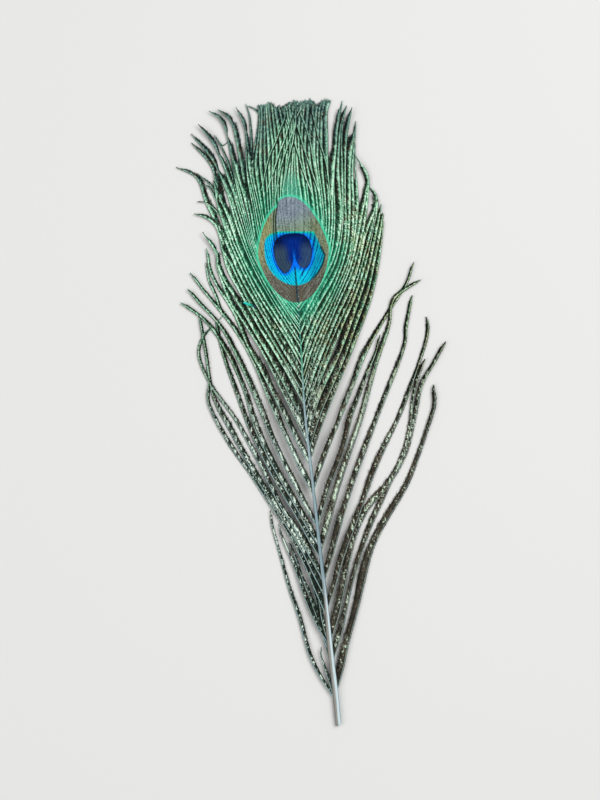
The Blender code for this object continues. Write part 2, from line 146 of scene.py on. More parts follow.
# Loose barbs: widest half-width, then the route.
LEFT_LOOSE = {
    "upper": (1.1, [(-1, 113), (-8, 131.5), (-15, 150), (-23, 168.5), (-28.5, 184.5),
                    (-36, 201.5), (-38.5, 214.5)]),
    "hooked": (1.1, [(-1.5, 101.5), (-6.5, 116), (-15, 141), (-21, 159.5), (-28.5, 177.5),
                     (-38, 192.5), (-46.5, 204.5)]),
    "straight": (1.1, [(-1, 87.5), (-8, 105), (-15, 123.5), (-21, 142), (-27.5, 161),
                       (-35, 180.5), (-48.5, 197.5)]),
    "widest": (1.2, [(-1, 79), (-8.5, 97), (-17, 116), (-23.5, 134.5), (-27.5, 152.5),
                     (-34, 170), (-41.5, 183.5), (-52, 191.5)]),
    "inner": (1.1, [(-1, 73.5), (-8.5, 92), (-17.5, 110.5), (-24, 127.5), (-29.5, 145.5),
                    (-34, 163.5), (-38, 182.5)]),
    "looped": (1.0, [(-1, 64.5), (-8, 83), (-17, 101.5), (-24.5, 120.5), (-32.5, 138),
                     (-41, 153), (-45.5, 167), (-43.5, 176), (-40, 179.5)]),
    "crossing": (1.1, [(-1, 57.5), (-7.5, 77), (-16.5, 95), (-26.5, 114), (-34.5, 133),
                       (-41, 150), (-42.5, 171.5), (-44.5, 185.5)]),
    "outer": (1.1, [(-1, 49), (-7, 70.5), (-15.5, 90), (-25.5, 109.5), (-35.5, 127.5),
                    (-43, 146), (-43, 156)]),
    "low": (0.9, [(-0.5, 34.5), (-6.5, 49.5), (-11.5, 67), (-16, 83.5), (-18, 91)]),
    "dim_outer": (0.75, [(-1, 32), (-3, 40), (-5, 51), (-7.5, 60), (-10, 68.5), (-12, 76),
                        (-14.5, 82.5)]),
    "dim_middle": (0.75, [(-1, 27), (-2, 34), (-3.5, 46.5), (-4.5, 56), (-5.5, 65), (-7.5, 74),
                         (-9.5, 81.5)]),
    "dim_inner": (0.7, [(-1, 36), (-2, 42.5), (-3, 53.5), (-3.5, 62.5), (-4, 71.5), (-5, 79.5),
                        (-7, 87)]),
    "stub": (0.6, [(-1, 12), (-1.5, 16), (-3, 23), (-4, 29.5), (-4.5, 35)]),
    "lowest": (0.75, [(0, 10.5), (-8.5, 29), (-12.5, 49), (-17, 69), (-20.5, 88.5),
                     (-21.5, 97)]),
}
RIGHT_LOOSE = {
    "forked": (1.0, [(-1.5, 103.5), (3.5, 116.5), (12, 133.5), (24.5, 158.5), (37, 177.5),
                     (47.5, 191.5), (52, 200)]),
    "short": (1.15, [(-0.5, 89), (4.5, 104), (12.5, 121), (18.5, 137), (27, 154),
                    (34, 169.5)]),
    "bent": (1.2, [(0, 78), (7, 99), (16, 120.5), (24, 139.5), (31.5, 159), (38, 173.5),
                   (41.5, 185.5), (54, 192)]),
    "middle": (1.1, [(0, 64.5), (6.5, 83), (15, 104), (25, 124.5), (33, 142), (43.5, 163.5),
                     (45.5, 172.5), (50, 185.5)]),
    "long": (1.2, [(0, 51.5), (2.5, 58.5), (7.5, 72.5), (16.5, 91.5), (27.5, 114), (41, 137),
                   (49, 155), (55, 170), (55, 175.5)]),
    "twisted": (1.4, [(0.5, 38), (7, 59.5), (14, 82), (21, 94.5), (30.5, 103.5), (40, 117),
                      (45.5, 133), (50.5, 148), (63, 163.5)]),
    "tangled": (1.1, [(0.5, 29), (5.5, 44), (12, 64.5), (21, 85), (29.5, 99.5), (41, 120.5),
                      (46.5, 144), (53, 157)]),
    "outer": (1.4, [(0.5, 14), (6, 34), (13.5, 54.5), (21.5, 76), (30.5, 90.5), (39, 102.5),
                    (45.5, 115.5), (52, 130.5), (55, 138), (55.5, 145.5)]),
}
# Barbs that cross over the vane above the eye: the side each comes from, then its route.
CROWN_CROSSING = [
    (1, [(10.5, 233), (6.5, 247.5), (4.5, 258.5), (1.5, 270), (1, 275)]),
    (1, [(14, 231), (10, 248.5), (7, 262.5), (5, 272), (4.5, 276)]),
    (1, [(18, 231), (17.5, 246.5), (15, 260), (14, 270), (15.5, 276)]),
    (1, [(13, 238), (12, 249), (11, 260), (9, 269), (8.5, 274)]),
    (-1, [(-6, 235.5), (-2.5, 248), (3.5, 262), (6.5, 268.5), (9.5, 274.5)]),
    (-1, [(-9, 239), (-5, 248.5), (0, 259), (3.5, 267.5), (6, 275)]),
    (-1, [(-3, 236.5), (1, 250), (4, 259.5), (5.5, 267), (6.5, 275.5)]),
    (-1, [(-12, 238), (-8, 251), (-2.5, 261.5), (1, 268.5), (1.5, 274)]),
]
# Short tips and strands beside the vane: half-width, then the route.
STRAY_TIPS = {
    "bridged": (0.7, [(-22, 230), (-24, 242.5), (-26, 252.5), (-29, 261), (-30.5, 264)]),
    "bridge": (0.35, [(-28.5, 261), (-27, 259.5), (-24.5, 261)]),
    "nub_upper": (0.6, [(-31.5, 236.5), (-33, 240.5), (-36, 244.5), (-39, 247)]),
    "nub_middle": (0.55, [(-30, 230), (-32.5, 235.5), (-35, 241.5), (-38.5, 243)]),
    "nub_lower": (0.6, [(-29.5, 225.5), (-33, 231), (-36.5, 234.5), (-40.5, 235.5)]),
    "tall_tip": (0.7, [(-16.5, 246.5), (-15, 256), (-14.5, 264.5), (-14.5, 271.5),
                       (-15.5, 276.5)]),
    "hooked_tip": (0.7, [(-9.5, 262), (-9.5, 268.5), (-11, 273), (-14.5, 275.5)]),
    "shoulder": (0.8, [(-34.5, 185), (-36.5, 193), (-39, 200.5), (-39.5, 208.5)]),
    "stub_right": (0.7, [(48, 148.5), (50.5, 153.5), (53, 157)]),
    "cross_strand": (0.3, [(-32.5, 186.5), (-34.5, 184), (-37.5, 181.5)]),
    "fork_strand": (0.3, [(-39.5, 179.5), (-43, 176)]),
}
FLECK_ENDS = ((-24.6, 189.6), (-19.1, 186.9))
FLECK_HEIGHT = 1.8
FLECK_WIDTH = 1.05
FLECK_THICKNESS = 0.22

SHAFT_SIDES = 14
SHAFT_STATIONS = 56
# The quill's cut end: the rim and the slope to its pith, as shares of its radius.
RIM_SHARE = 0.16
SLOPE_SHARE = 0.2
PITH_DEPTH = 0.35
RIM_ROUNDING = 0.3
# The groove starts at this station of the shaft. Its depth is a share of the half width.
GROOVE_START = 12
GROOVE_DEPTH = 0.35

# Each piece's own start for its random draws.
SEEDS = {"left_vane": 11, "right_vane": 12, "crown_barbs": 13, "left_loose_barbs": 14,
         "right_loose_barbs": 15, "stray_tips": 16}
# The barbs' pitch narrows from the vane's edge inwards over this many routes.
NARROWING_ROUTES = 5
# Neighbours in the vane start to part and have parted at these gaps.
PARTING_GAPS = (2.9, 3.9)
# A barb that lies in the closed vane for at least this share of its length has no free tip.
NO_TIP = 0.97
# Where on a barb its barbules and its web start and end, as shares of its length.
BARBULE_SHARES = (0.004, 0.998)
WEB_SHARES = (0.02, 0.98)
SHORTEST_BARBULE = 0.12
STEM_SIDES = 6
# From one station to the next along a stem and along a web.
STEM_STEP = 2.4
WEB_STEP = 2.2
# How many barbules in a row a slow change of shine takes.
STRETCH_RUN = 55
# No barb comes closer to the ground than this.
LOWEST = 0.02

# The camera looks straight down on this centre, turned by this many degrees.
CAMERA_ROLL = -5.29
CAMERA_CENTRE = (-9.14, 5.89)
VIEW_HEIGHT = 352.0
CAMERA_LENS = 100.0
SENSOR = 36.0
SUBJECT_HEIGHT = 3.0
# Name, place and size in metres, power and colour of each light.
LIGHTS = (("key", (0.75, 0.35, 1.25), 0.9, 15.0, (0.97, 0.99, 1.0)),
          ("fill", (-0.95, -0.25, 1.1), 1.1, 7.5, (1.0, 0.985, 0.96)))
WORLD_COLOUR = (0.96, 0.98, 1.0, 1.0)
WORLD_LEVEL = 0.4
# The floor's side is in metres. It lies this little below the feather.
FLOOR_SIZE = 6.0
FLOOR_DROP = 0.05


# ---------------------------------------------------------------- values a user can change

def tint(red, green, blue):
    """A linear colour from 0 to 255 screen values."""
    found = []
    for level in (red, green, blue):
        level /= 255
        found.append(level / 12.92 if level <= 0.04045 else ((level + 0.055) / 1.055) ** 2.4)
    return tuple(found)


def colour(name, description, red, green, blue):
    """A colour that a user can change."""
    return bpy.props.FloatVectorProperty(name=name, description=description, subtype="COLOR",
                                         size=3, min=0, max=1,
                                         default=tint(red, green, blue))


def length(name, description, default):
    """A length that a user can change, with its default in millimetres."""
    return bpy.props.FloatProperty(name=name, description=description, default=default * MM,
                                   min=0, unit="LENGTH")


class FeatherSizes(bpy.types.PropertyGroup):
    """Sizes of the fine parts."""

    ramus_radius: length("Barb stem radius", "Radius of a vane barb's stem at its root", 0.18)
    loose_radius: length("Loose stem radius", "Radius of a loose barb's stem at its root",
                         0.24)
    outer_pitch: length("Outer barb pitch", "Distance between barbs at the vane's edge", 2.25)
    inner_pitch: length("Inner barb pitch", "Distance between barbs in the eye", 1.5)
    barbule_pitch: length("Barbule pitch", "Distance from one barbule to the next", 0.23)
    barbule_width: length("Barbule width", "Widest width of one barbule", 0.34)
    widest_band: length("Widest band", "How far barbules reach from a vane barb's stem", 3.4)
    light_level: bpy.props.FloatProperty(name="Light level", default=1.0, min=0,
                                         description="Brightness of all the studio lights")


class FeatherColours(bpy.types.PropertyGroup):
    """Colours of the eye, the vane and the shaft."""

    ring: colour("Outer ring", "Thin bright ring round the eye", 84, 222, 178)
    lilac: colour("Lilac zone", "Grey top of the eye", 134, 147, 160)
    olive: colour("Olive zone", "Band under the lilac zone", 128, 150, 122)
    gold: colour("Gold zone", "Left side of the eye's broad ring", 150, 150, 100)
    fawn: colour("Fawn zone", "Right side of the eye's broad ring", 126, 136, 104)
    brown: colour("Brown zone", "Lower part of the eye's broad ring", 103, 97, 84)
    aqua: colour("Aqua", "The bright ring's lower side", 12, 208, 238)
    # Painted highlight: the light lines in the eye's grey and brown zones.
    eye_highlight: colour("Pearl", "Light lines of the eye's grey and brown zones", 186, 208, 200)
    turquoise: colour("Turquoise", "Outer edge of the cyan ring", 20, 198, 150)
    cyan: colour("Cyan", "The bright ring", 5, 188, 240)
    teal: colour("Teal", "The bright ring's right side", 6, 158, 190)
    azure: colour("Azure", "Inner edge of the cyan ring", 3, 124, 255)
    navy: colour("Navy", "Top of the heart", 0, 18, 66)
    royal: colour("Royal blue", "Middle of the heart", 0, 42, 136)
    slate: colour("Slate", "The heart's left lobe", 54, 74, 90)
    dusk: colour("Dusk blue", "The heart's right lobe", 50, 76, 109)
    mint: colour("Mint", "Vane close to the eye", 36, 148, 108)
    # Painted highlight: the light lines close to the eye.
    near_eye_highlight: colour("Fresh mint", "Light lines close to the eye", 144, 242, 200)
    left_green: colour("Left green", "Left vane further out", 84, 138, 106)
    right_green: colour("Right green", "Right vane further out", 84, 122, 92)
    olive_green: colour("Olive green", "Lower vane", 78, 94, 70)
    crown: colour("Crown", "Trimmed top of the vane", 74, 102, 101)
    taupe: colour("Taupe", "Worn patches of the vane", 100, 86, 72)
    left_barb: colour("Left barbs", "Loose barbs on the left", 70, 88, 76)
    right_barb: colour("Right barbs", "Loose barbs on the right", 82, 78, 66)
    # Painted light and shade of the barbules: the shade colour is painted shade, partly their own
    # dark colour, and the four colours after it are painted highlights and glints.
    shade: colour("Shade", "Dark parts of the barbules", 5, 9, 6)
    lit: colour("Lit green", "Light parts of the barbules", 168, 232, 194)
    glow: colour("Glow", "Lightest specks of the barbules", 236, 255, 238)
    warm_highlight: colour("Cream", "Warmer light parts of the barbules", 186, 214, 156)
    loose_highlight: colour("Silver", "Light parts of the loose barbs", 164, 182, 168)
    blue_stem: colour("Blue stems", "Stems of the lower barbs", 140, 168, 172)
    shaft_blue: colour("Shaft, blue", "Upper shaft", 122, 150, 158)
    # Painted light on the quill: the grey colour stands for its shaded side and the white one for
    # its lit side, and both also colour the grain's streaks.
    shaft_grey_and_shade: colour("Shaft, grey", "Shaded side of the quill", 138, 134, 126)
    shaft_white_and_highlight: colour("Shaft, white", "Lit side of the quill", 206, 224, 228)
    shaft_edge: colour("Shaft, edge", "Thin dark line along each side", 66, 80, 86)
    floor: colour("Floor", "The pale ground", 224, 223, 220)


# ---------------------------------------------------------------- shader maths

class Wire:
    """A socket that takes part in arithmetic: each operator adds its Math node."""

    def __init__(self, finish, socket):
        self.finish = finish
        self.socket = socket

    def maths(self, operation, *values):
        return self.finish.add("ShaderNodeMath", {"operation": operation}, *values)

    def __add__(self, other):
        return self.maths("ADD", self, other)

    __radd__ = __add__

    def __sub__(self, other):
        return self.maths("SUBTRACT", self, other)

    def __rsub__(self, other):
        return self.maths("SUBTRACT", other, self)

    def __mul__(self, other):
        return self.maths("MULTIPLY", self, other)

    __rmul__ = __mul__

    def __truediv__(self, other):
        return self.maths("DIVIDE", self, other)

    def __pow__(self, other):
        return self.maths("POWER", self, other)

    def __abs__(self):
        return self.maths("ABSOLUTE", self)

    def at_least(self, other):
        return self.maths("MAXIMUM", self, other)

    def at_most(self, other):
        return self.maths("MINIMUM", self, other)

    def above(self, limit):
        return self.maths("GREATER_THAN", self, limit)

    def rise(self, low, high):
        """0 at low, 1 at high, and smooth between, whichever is larger."""
        return self.finish.add("ShaderNodeMapRange", {"interpolation_type": "SMOOTHSTEP"},
                               self, low, high, 0.0, 1.0)

    def fading(self, distance):
        """1 at 0 and below, and down to 0.37 at the distance."""
        return self.maths("EXPONENT", self.at_least(0.0) / distance * -1.0)


class Finish:
    """A material that is written as expressions."""

    def __init__(self, name, roughness, specular):
        self.material = bpy.data.materials.new(name)
        self.material.use_nodes = True
        self.tree = self.material.node_tree
        self.shader = self.tree.nodes["Principled BSDF"]
        self.shader.inputs["Roughness"].default_value = roughness
        self.shader.inputs["Specular IOR Level"].default_value = specular

    def join(self, value, socket):
        """Link a wire to a socket, or set the socket's own value."""
        if isinstance(value, Wire):
            self.tree.links.new(value.socket, socket)
        elif hasattr(value, "__len__") and socket.type == "RGBA":
            socket.default_value = (*value[:3], 1.0)
        else:
            socket.default_value = value

    def add(self, kind, settings, *values, output=0, **named):
        """Add a node with its settings, and with values or wires by order or by name."""
        node = self.tree.nodes.new(kind)
        for key, setting in settings.items():
            setattr(node, key, setting)
        for index, value in enumerate(values):
            self.join(value, node.inputs[index])
        for key, value in named.items():
            self.join(value, node.inputs[key.replace("_", " ")])
        return Wire(self, node.outputs[output])

    def mark(self, name):
        return self.add("ShaderNodeAttribute", {"attribute_name": name}, output="Fac")

    def place(self):
        """Across and along, in millimetres from the middle of the quill's cut end."""
        spot = self.add("ShaderNodeTexCoord", {}, output="Object")
        split = self.add("ShaderNodeSeparateXYZ", {}, spot)
        along = Wire(self, split.socket.node.outputs["Y"])
        across = (split - FRAME_MIDDLE[0]) / MM + BOX_MIDDLE[0]
        return spot, across, (along - FRAME_MIDDLE[1]) / MM + BOX_MIDDLE[1]

    def noise(self, spot, scale, detail=2.0):
        return self.add("ShaderNodeTexNoise", {}, Vector=spot, Scale=scale, Detail=detail)

    def mix(self, share, first, second):
        """The first colour at share 0 and the second at 1."""
        node = self.tree.nodes.new("ShaderNodeMix")
        node.data_type = "RGBA"
        # The colour sockets come after those for numbers and vectors.
        self.join(share, node.inputs[0])
        self.join(first, node.inputs[6])
        self.join(second, node.inputs[7])
        return Wire(self, node.outputs[2])

    def set(self, name, value):
        self.join(value, self.shader.inputs[name])


def oval(x, y, half_width, half_height, x_power, y_power):
    """Distance outside a rounded outline, about true near the outline, and less than 0 in it."""
    across = (abs(x) / half_width).at_least(0.001)
    along = (abs(y) / half_height).at_least(0.001)
    x_slope = across ** (x_power - 1) * (x_power / half_width)
    y_slope = along ** (y_power - 1) * (y_power / half_height)
    steepness = (x_slope * x_slope + y_slope * y_slope) ** 0.5
    return (across ** x_power + along ** y_power - 1.0) / steepness.at_least(0.02)


def chosen(condition, if_true, if_false):
    """A number between two by a condition from 0 to 1."""
    return if_false + (if_true - if_false) * condition


def eye_fields(across, along, ragged):
    """Distances outside the ring, the cyan, the heart and its whole round, in millimetres."""
    slipped = (slit_line(along) - across).rise(-0.05, 0.05) * along.rise(213.0, 216.0)
    height = along + slipped * (across * 0.25 + 3.3).at_least(0.0) - 210.0
    upper = height.above(0.0)
    ring = chosen(upper, oval(across + 0.5, height, 15.7, 24.2, 2.0, 1.3),
                  oval(across + 0.5, height, 15.7, 22.7, 2.0, 1.55)) + ragged * 0.35

    height = along - 209.0
    upper = height.above(0.0)
    cyan = chosen(upper, oval(across - 0.1, height, 13.3, 10.5, 4.0, 4.0),
                  oval(across - 0.1, height, 13.3, 14.2, 1.85, 1.85))
    flat_top = height + across * 0.095 - 9.8
    cut_corner = across * 0.94 + height * 0.342 - 11.8
    cyan = cyan.at_least(flat_top).at_least(cut_corner) + ragged * 0.4

    left_lobe = oval(across + 4.8, along - 209.3, 4.4, 8.8, 1.7, 1.7).at_least(along - 213.0)
    right_lobe = oval(across - 3.75, along - 209.6, 3.95, 7.7, 1.9, 1.9).at_least(along - 213.0)
    top = oval(across + 0.8, along - 209.6, 8.5, 8.35, 2.8, 2.6)
    heart = left_lobe.at_most(right_lobe).at_most(top.at_least(208.9 - along))
    return ring, cyan, heart + ragged * 0.3, left_lobe.at_most(right_lobe).at_most(top)


def slit_line(along):
    """Where the dark slit in the eye's top is across, at a place along."""
    rise = (along - 218.5).at_least(0.0)
    return rise * rise * 0.0114 - 7.4


def eye_colours(mix, colours, at):
    """The eye's zones, without light and shade."""
    across, along, cyan, heart = at.across, at.along, at.cyan, at.heart
    centre = abs(across + 0.3)
    sides = mix(across.rise(-1.0, 1.0), colours.gold, colours.fawn)
    zone = mix(centre.rise(7.0, 10.5), colours.olive, sides)
    brown = mix(across.rise(2.0, 8.0) * 0.2, colours.brown, colours.shade)
    zone = mix((along + across * 0.12).rise(196.0, 211.0), brown, zone)
    lilac = (along - across.at_least(0.0) * 0.35).rise(217.0, 227.5)
    lilac = lilac * (across - slit_line(along)).rise(0.0, 0.3)
    zone = mix(lilac, zone, colours.lilac)
    blue = mix((205.0 - along).rise(-1.0, 7.0), colours.cyan, colours.aqua)
    blue = mix(across.rise(3.5, 8.5) * along.rise(194.0, 199.0), blue, colours.teal)
    blue = mix(heart.rise(0.1, 1.6), colours.azure, blue)
    rim = (cyan * -1.0).rise(1.3, 0.3) * (0.3 + along.rise(215.5, 217.5) * 0.7)
    blue = mix(rim, blue, colours.turquoise)
    notch = (1.0 - centre.rise(0.9, 2.8)) * along.rise(200.0, 204.0) * along.rise(213.0, 210.0)
    blue = mix(notch, blue, colours.azure)
    depth = mix((218.5 - along).rise(0.5, 4.5) * (1.0 - centre.rise(1.0, 6.5)), colours.navy,
                colours.royal)
    depth = mix((1.0 - centre.rise(0.0, 1.1)) * along.rise(212.5, 207.5) * 0.4, depth,
                colours.azure)
    lobes = (215.0 - along).rise(0.0, 5.5) * centre.rise(1.2, 4.8)
    lobes = lobes.at_least((208.0 - along).rise(0.0, 4.0) * centre.rise(0.9, 2.6))
    depth = mix(lobes * (at.whole_heart * -1.0).rise(-0.2, 1.0), depth,
                mix(across.above(0.0), colours.slate, colours.dusk))
    eye = mix(cyan.rise(0.22, -0.22), zone, blue)
    return mix(heart.rise(0.22, -0.22), eye, depth)


def fine_lines(across, along, cyan):
    """The dark lines in the eye: the double slit, painted shade where the barbs part, the shaft
    and the cyan's cut corner.
    """
    off_slit = across - slit_line(along)
    slit = (1.0 - abs(off_slit).rise(0.18, 0.5)).at_least(
        1.0 - abs(off_slit + 1.0).rise(0.16, 0.42))
    slit = slit * along.rise(213.5, 215.0) * along.rise(234.0, 232.5)
    shaft = (1.0 - abs(across + 0.5).rise(0.24, 0.52)) * along.rise(204.0, 202.0)
    corner = (1.0 - abs(cyan + 0.1).rise(0.22, 0.65)) * across.rise(5.0, 8.0)
    return slit.at_least(shaft * 1.1), corner * along.rise(212.5, 210.5)


def barb_fields(finish):
    """What the barbs' finish goes by: place, marks, noises, distances and shares."""
    spot, across, along = finish.place()
    reach, glint, stem = (finish.mark(name) for name in ("reach", "glint", "stem"))
    fine = (finish.noise(spot, 1500.0, 1.0) - 0.5) * 3.0
    streak = (finish.noise(spot, 260.0) - 0.5) * 1.8
    blotch = finish.noise(spot, 150.0) - 0.5
    hue = (finish.noise(spot, 420.0) - 0.5) * 2.2 + blotch * 1.6
    broad = finish.noise(spot, 70.0) - 0.5
    ripple = finish.noise(spot, 1700.0, 1.0) - 0.5
    # Painted glints: lighter specks by the barbules' glint mark and fine noise.
    glint_speck = (glint * 0.62 + fine * 0.26 + 0.19).rise(0.28, 0.72) - 0.45
    ring, cyan, heart, whole_heart = eye_fields(across, along, ripple)

    near = 1.0 - (ring + broad * 8.0).rise(1.0, 11.0)
    lower = 1.0 - (along + broad * 20.0).rise(118.0, 172.0)
    right = across.rise(-4.0, 4.0) * lower
    # The crown's colour starts lower at the sides than above the eye.
    centre = 1.0 - abs(across).rise(3.0, 11.0)
    height = along + broad * 14.0 + (across * -0.45).at_least(0.0) + 5.0
    height = height - centre * (5.0 + along.rise(270.0, 260.0) * 8.0)
    height = height + across.rise(14.0, 22.0) * 6.0
    # The ring's colour glows outwards, and furthest straight below the eye.
    below = (206.0 - along).rise(0.0, 20.0) * (1.0 - abs(across + 0.3).rise(3.0, 11.0))
    glow = ring.fading(below * 7.0 + 1.2)
    # A light patch straight above the eye.
    above = (across - 1.0) * (across - 1.0) / 16.0 + (along - 238.5) * (along - 238.5) / 50.0
    return SimpleNamespace(
        across=across, along=along, reach=reach, glint=glint, stem=stem, fine=fine,
        streak=streak, hue=hue, broad=broad, glint_speck=glint_speck, ring=ring, cyan=cyan, heart=heart,
        whole_heart=whole_heart, near=near, lower=lower, right=right, height=height,
        high=height.rise(246.0, 276.0), glow=glow, above=above.rise(1.3, 0.4))


def vane_colours(mix, colours, at):
    """The middle tone of the barbs outside the eye, by place."""
    across, along, lower = at.across, at.along, at.lower
    low = 1.0 - (along + at.broad * 30.0).rise(165.0, 205.0)
    side = (across + at.broad * 10.0).rise(-8.0, 10.0)
    vane = mix(low, mix(side, colours.left_green, colours.right_green), colours.olive_green)
    vane = mix(at.near, vane, colours.mint)
    vane = mix(at.height.rise(242.0, 277.0), vane, colours.crown)
    vane = mix(lower, vane, mix(across.above(0.0), colours.left_barb, colours.right_barb))
    far_right = across.rise(30.0, 42.0) * (1.0 - along.rise(196.0, 205.0))
    vane = mix(far_right * (1.0 - lower), vane,
               mix(along.rise(150.0, 195.0), colours.right_barb, colours.right_green))
    worn = (at.ring + across.at_least(0.0) * 0.25).rise(4.0, 15.0) + along.rise(244.0, 266.0)
    brownish = at.hue + across.rise(6.0, 24.0) * along.rise(214.0, 190.0) * 0.14
    brownish = brownish + across.rise(-34.0, -42.0) * along.rise(225.0, 238.0) * 0.4
    vane = mix(brownish.rise(0.05, 0.5) * worn.at_most(1.0) * 0.85, vane, colours.taupe)
    vane = mix(at.glow * 0.5, vane, colours.ring)
    return mix(at.above * 0.5, vane, mix(0.45, colours.ring, colours.lilac))


def barb_light_and_shade(at):
    """How light a barb is by painted light and shade, how far towards its far edge, which is
    darkened partly by the barbules' own dark colour and partly by painted shade, and how near its
    bend.
    """
    across, along, near, lower = at.across, at.along, at.near, at.lower
    left = across.rise(2.0, -10.0)
    # Painted shade between barbs: the barbules darken towards their far ends, where they pass
    # under the next barb; partly it is their own dark colour.
    valley_shade = (at.reach + near * (0.06 + left * 0.12)).rise(0.1, 0.52)
    valley_shade = valley_shade * (1.0 - along.rise(270.0, 276.0) * 0.6)
    # The vane shines on the left beside the eye, and less at the lower right.
    sheen = across.rise(-16.0, -24.0) * along.rise(196.0, 204.0) * along.rise(228.0, 218.0)
    sheen = sheen - across.rise(4.0, 18.0) * along.rise(224.0, 185.0) * 1.8
    sheen = sheen + near * (across.rise(-6.0, 8.0) * 0.4 + 0.1)
    # A loose barb shines along the middle of its band, where its barbules bend.
    bend = 1.0 - abs(at.reach + at.streak * 0.15 - 0.38).rise(0.04, 0.3)
    loose = 0.27 + bend * 0.14 - at.reach.rise(0.55, 1.0) * 0.2 + at.right * 0.07
    # Those on the left are duller towards the quill.
    dull = along.rise(125.0, 70.0) * 0.15 + along.rise(85.0, 45.0) * 0.1
    loose = loose - dull * (1.0 - at.right)
    tone = 0.86 - valley_shade * (0.92 - at.high * 0.14) + sheen * 0.09
    tone = chosen(lower, loose, tone)
    # Painted glints: specks of light on the tone, calmer near the eye and on the crown.
    calm = near.at_least(along.rise(222.0, 240.0) * 0.85)
    strength = chosen(calm, 0.3, 0.5 - lower * 0.16)
    tone = tone + (at.glint_speck.at_least(0.0) + at.glint_speck * 0.6) * strength
    tone = tone + at.fine * chosen(calm, 0.14, 0.28) + at.streak * 0.22
    tone = chosen(at.above * 0.75, 0.55 + at.fine * 0.25, tone + at.glow * valley_shade * 0.4)
    tone = chosen(at.stem, 0.95 + at.glint_speck * 0.4 - at.high * 0.1, tone)
    return tone, valley_shade, bend


def weaker_highlight_share(at):
    """Where the barbs' painted highlights show less: low down, at the far left and on the crown's
    flanks.
    """
    across, along = at.across, at.along
    weaker_highlight = along.rise(214.0, 186.0) * across.rise(-2.0, 12.0)
    weaker_highlight = weaker_highlight * (0.28 - along.rise(172.0, 155.0) * 0.14) + along.rise(185.0, 160.0) * 0.08
    weaker_highlight = weaker_highlight + across.rise(-26.0, -32.0) * 0.15
    flanks = across.rise(-4.0, -11.0) * (0.42 - across.rise(-20.0, -28.0) * 0.15)
    flanks = flanks + across.rise(5.0, 12.0) * (0.3 - across.rise(16.0, 22.0) * 0.24)
    weaker_highlight = weaker_highlight + along.rise(246.0, 268.0) * flanks
    return weaker_highlight + across.rise(-20.0, -26.0) * along.rise(190.0, 176.0) * 0.25


def highlight_colours(mix, colours, at, vane):
    """The colour of the barbules' painted highlights."""
    warm = (at.hue + at.across * 0.014 + at.along.rise(200.0, 170.0) * 0.12).rise(0.05, 0.65)
    warm = warm * at.along.rise(240.0, 205.0) * (1.0 - at.near)
    light = mix(warm, colours.lit, colours.warm_highlight)
    light = mix(at.near * 0.75, light, colours.near_eye_highlight)
    light = mix(at.glow * 0.6, light, colours.ring)
    return mix(at.high * 0.5, mix(at.lower, light, colours.loose_highlight), vane)


def plume_colours(mix, colours, at):
    """The barbs outside the eye with their light and shade, and the eye's bright ring."""
    vane = vane_colours(mix, colours, at)
    tone, valley_shade, bend = barb_light_and_shade(at)
    highlight_shown = 1.0 - weaker_highlight_share(at)
    # Painted shade: the dark end of the tone is the barb's colour mixed nearly all the way to the
    # shade colour.
    deep_shade = mix(0.95 - at.lower * 0.1 - at.near * 0.15, vane, colours.shade)
    dark = mix(tone.rise(0.06, 0.68), deep_shade, vane)
    light = highlight_colours(mix, colours, at, vane)
    # Painted highlight: the light end of the tone, shown less where the barbs look duller.
    leaf = mix(tone.rise(0.52, 1.0) * highlight_shown, dark, light)
    # Painted glints: the loose barbs have lighter specks along the bend, scarcer towards the
    # quill.
    scarce = at.right * 0.08 + at.along.rise(95.0, 50.0) * (0.2 - at.right * 0.1)
    spark = (at.glint * 0.76 + at.fine * 0.32 - scarce).rise(0.34, 0.48) * bend * at.lower
    spark = spark.at_least(tone.rise(0.92, 1.28) * highlight_shown)
    leaf = mix(spark * (0.95 - at.high * 0.4), leaf,
               mix(at.right * 0.3, colours.glow, colours.warm_highlight))
    plume = mix(at.stem * at.lower * (0.6 + at.glint_speck * 0.9), leaf,
                mix(at.right * 0.5, colours.blue_stem, colours.right_barb))
    on_ring = 1.0 - abs(at.ring - 0.35).rise(0.25, 0.85)
    on_ring = on_ring * (0.3 + at.along.rise(191.0, 203.0) * 0.6)
    return mix(on_ring * (1.0 - valley_shade * 0.4), plume, colours.ring)


def grained_eye(mix, colours, at):
    """The eye inside its ring, with the grain of the barbs that run through it and painted glints
    on them.
    """
    across, along = at.across, at.along
    in_blue = at.cyan.rise(0.3, -0.3)
    in_heart = at.heart.rise(0.3, -0.3)
    calm = chosen(in_heart, 0.35, 1.0 + in_blue * 1.2)
    clear = (abs(across + 0.5).rise(0.6, 4.0) + along.rise(204.0, 208.0)).at_most(1.0)
    # A darker edge sets each barb apart from the next.
    apart = at.reach.rise(0.2, 0.52) * (0.2 + in_blue * along.rise(220.0, 213.0) * 0.13)
    # The grain's light specks are painted glints from the barbules' glint mark, mixed towards
    # lighter colours.
    grain = (at.glint_speck + at.fine * 0.5) * (0.34 - in_blue * 0.22) - apart + 0.07
    grain = grain * calm * clear
    light = mix(in_blue, colours.eye_highlight, mix(in_heart, colours.aqua, colours.azure))
    dark = mix(in_blue * 0.8, colours.shade, colours.royal)
    eye = mix(grain.at_least(0.0) * 0.7, eye_colours(mix, colours, at), light)
    eye = mix((grain * -1.7).at_least(0.0), eye, dark)
    lines, corner = fine_lines(across, along, at.cyan)
    # Painted shade in the slit, and the shaft's dark line in navy.
    eye = mix(lines.at_most(1.0) * 0.85, eye,
              mix(along.rise(212.0, 214.0), colours.navy, colours.shade))
    return mix(corner * 0.8, eye, colours.shade)


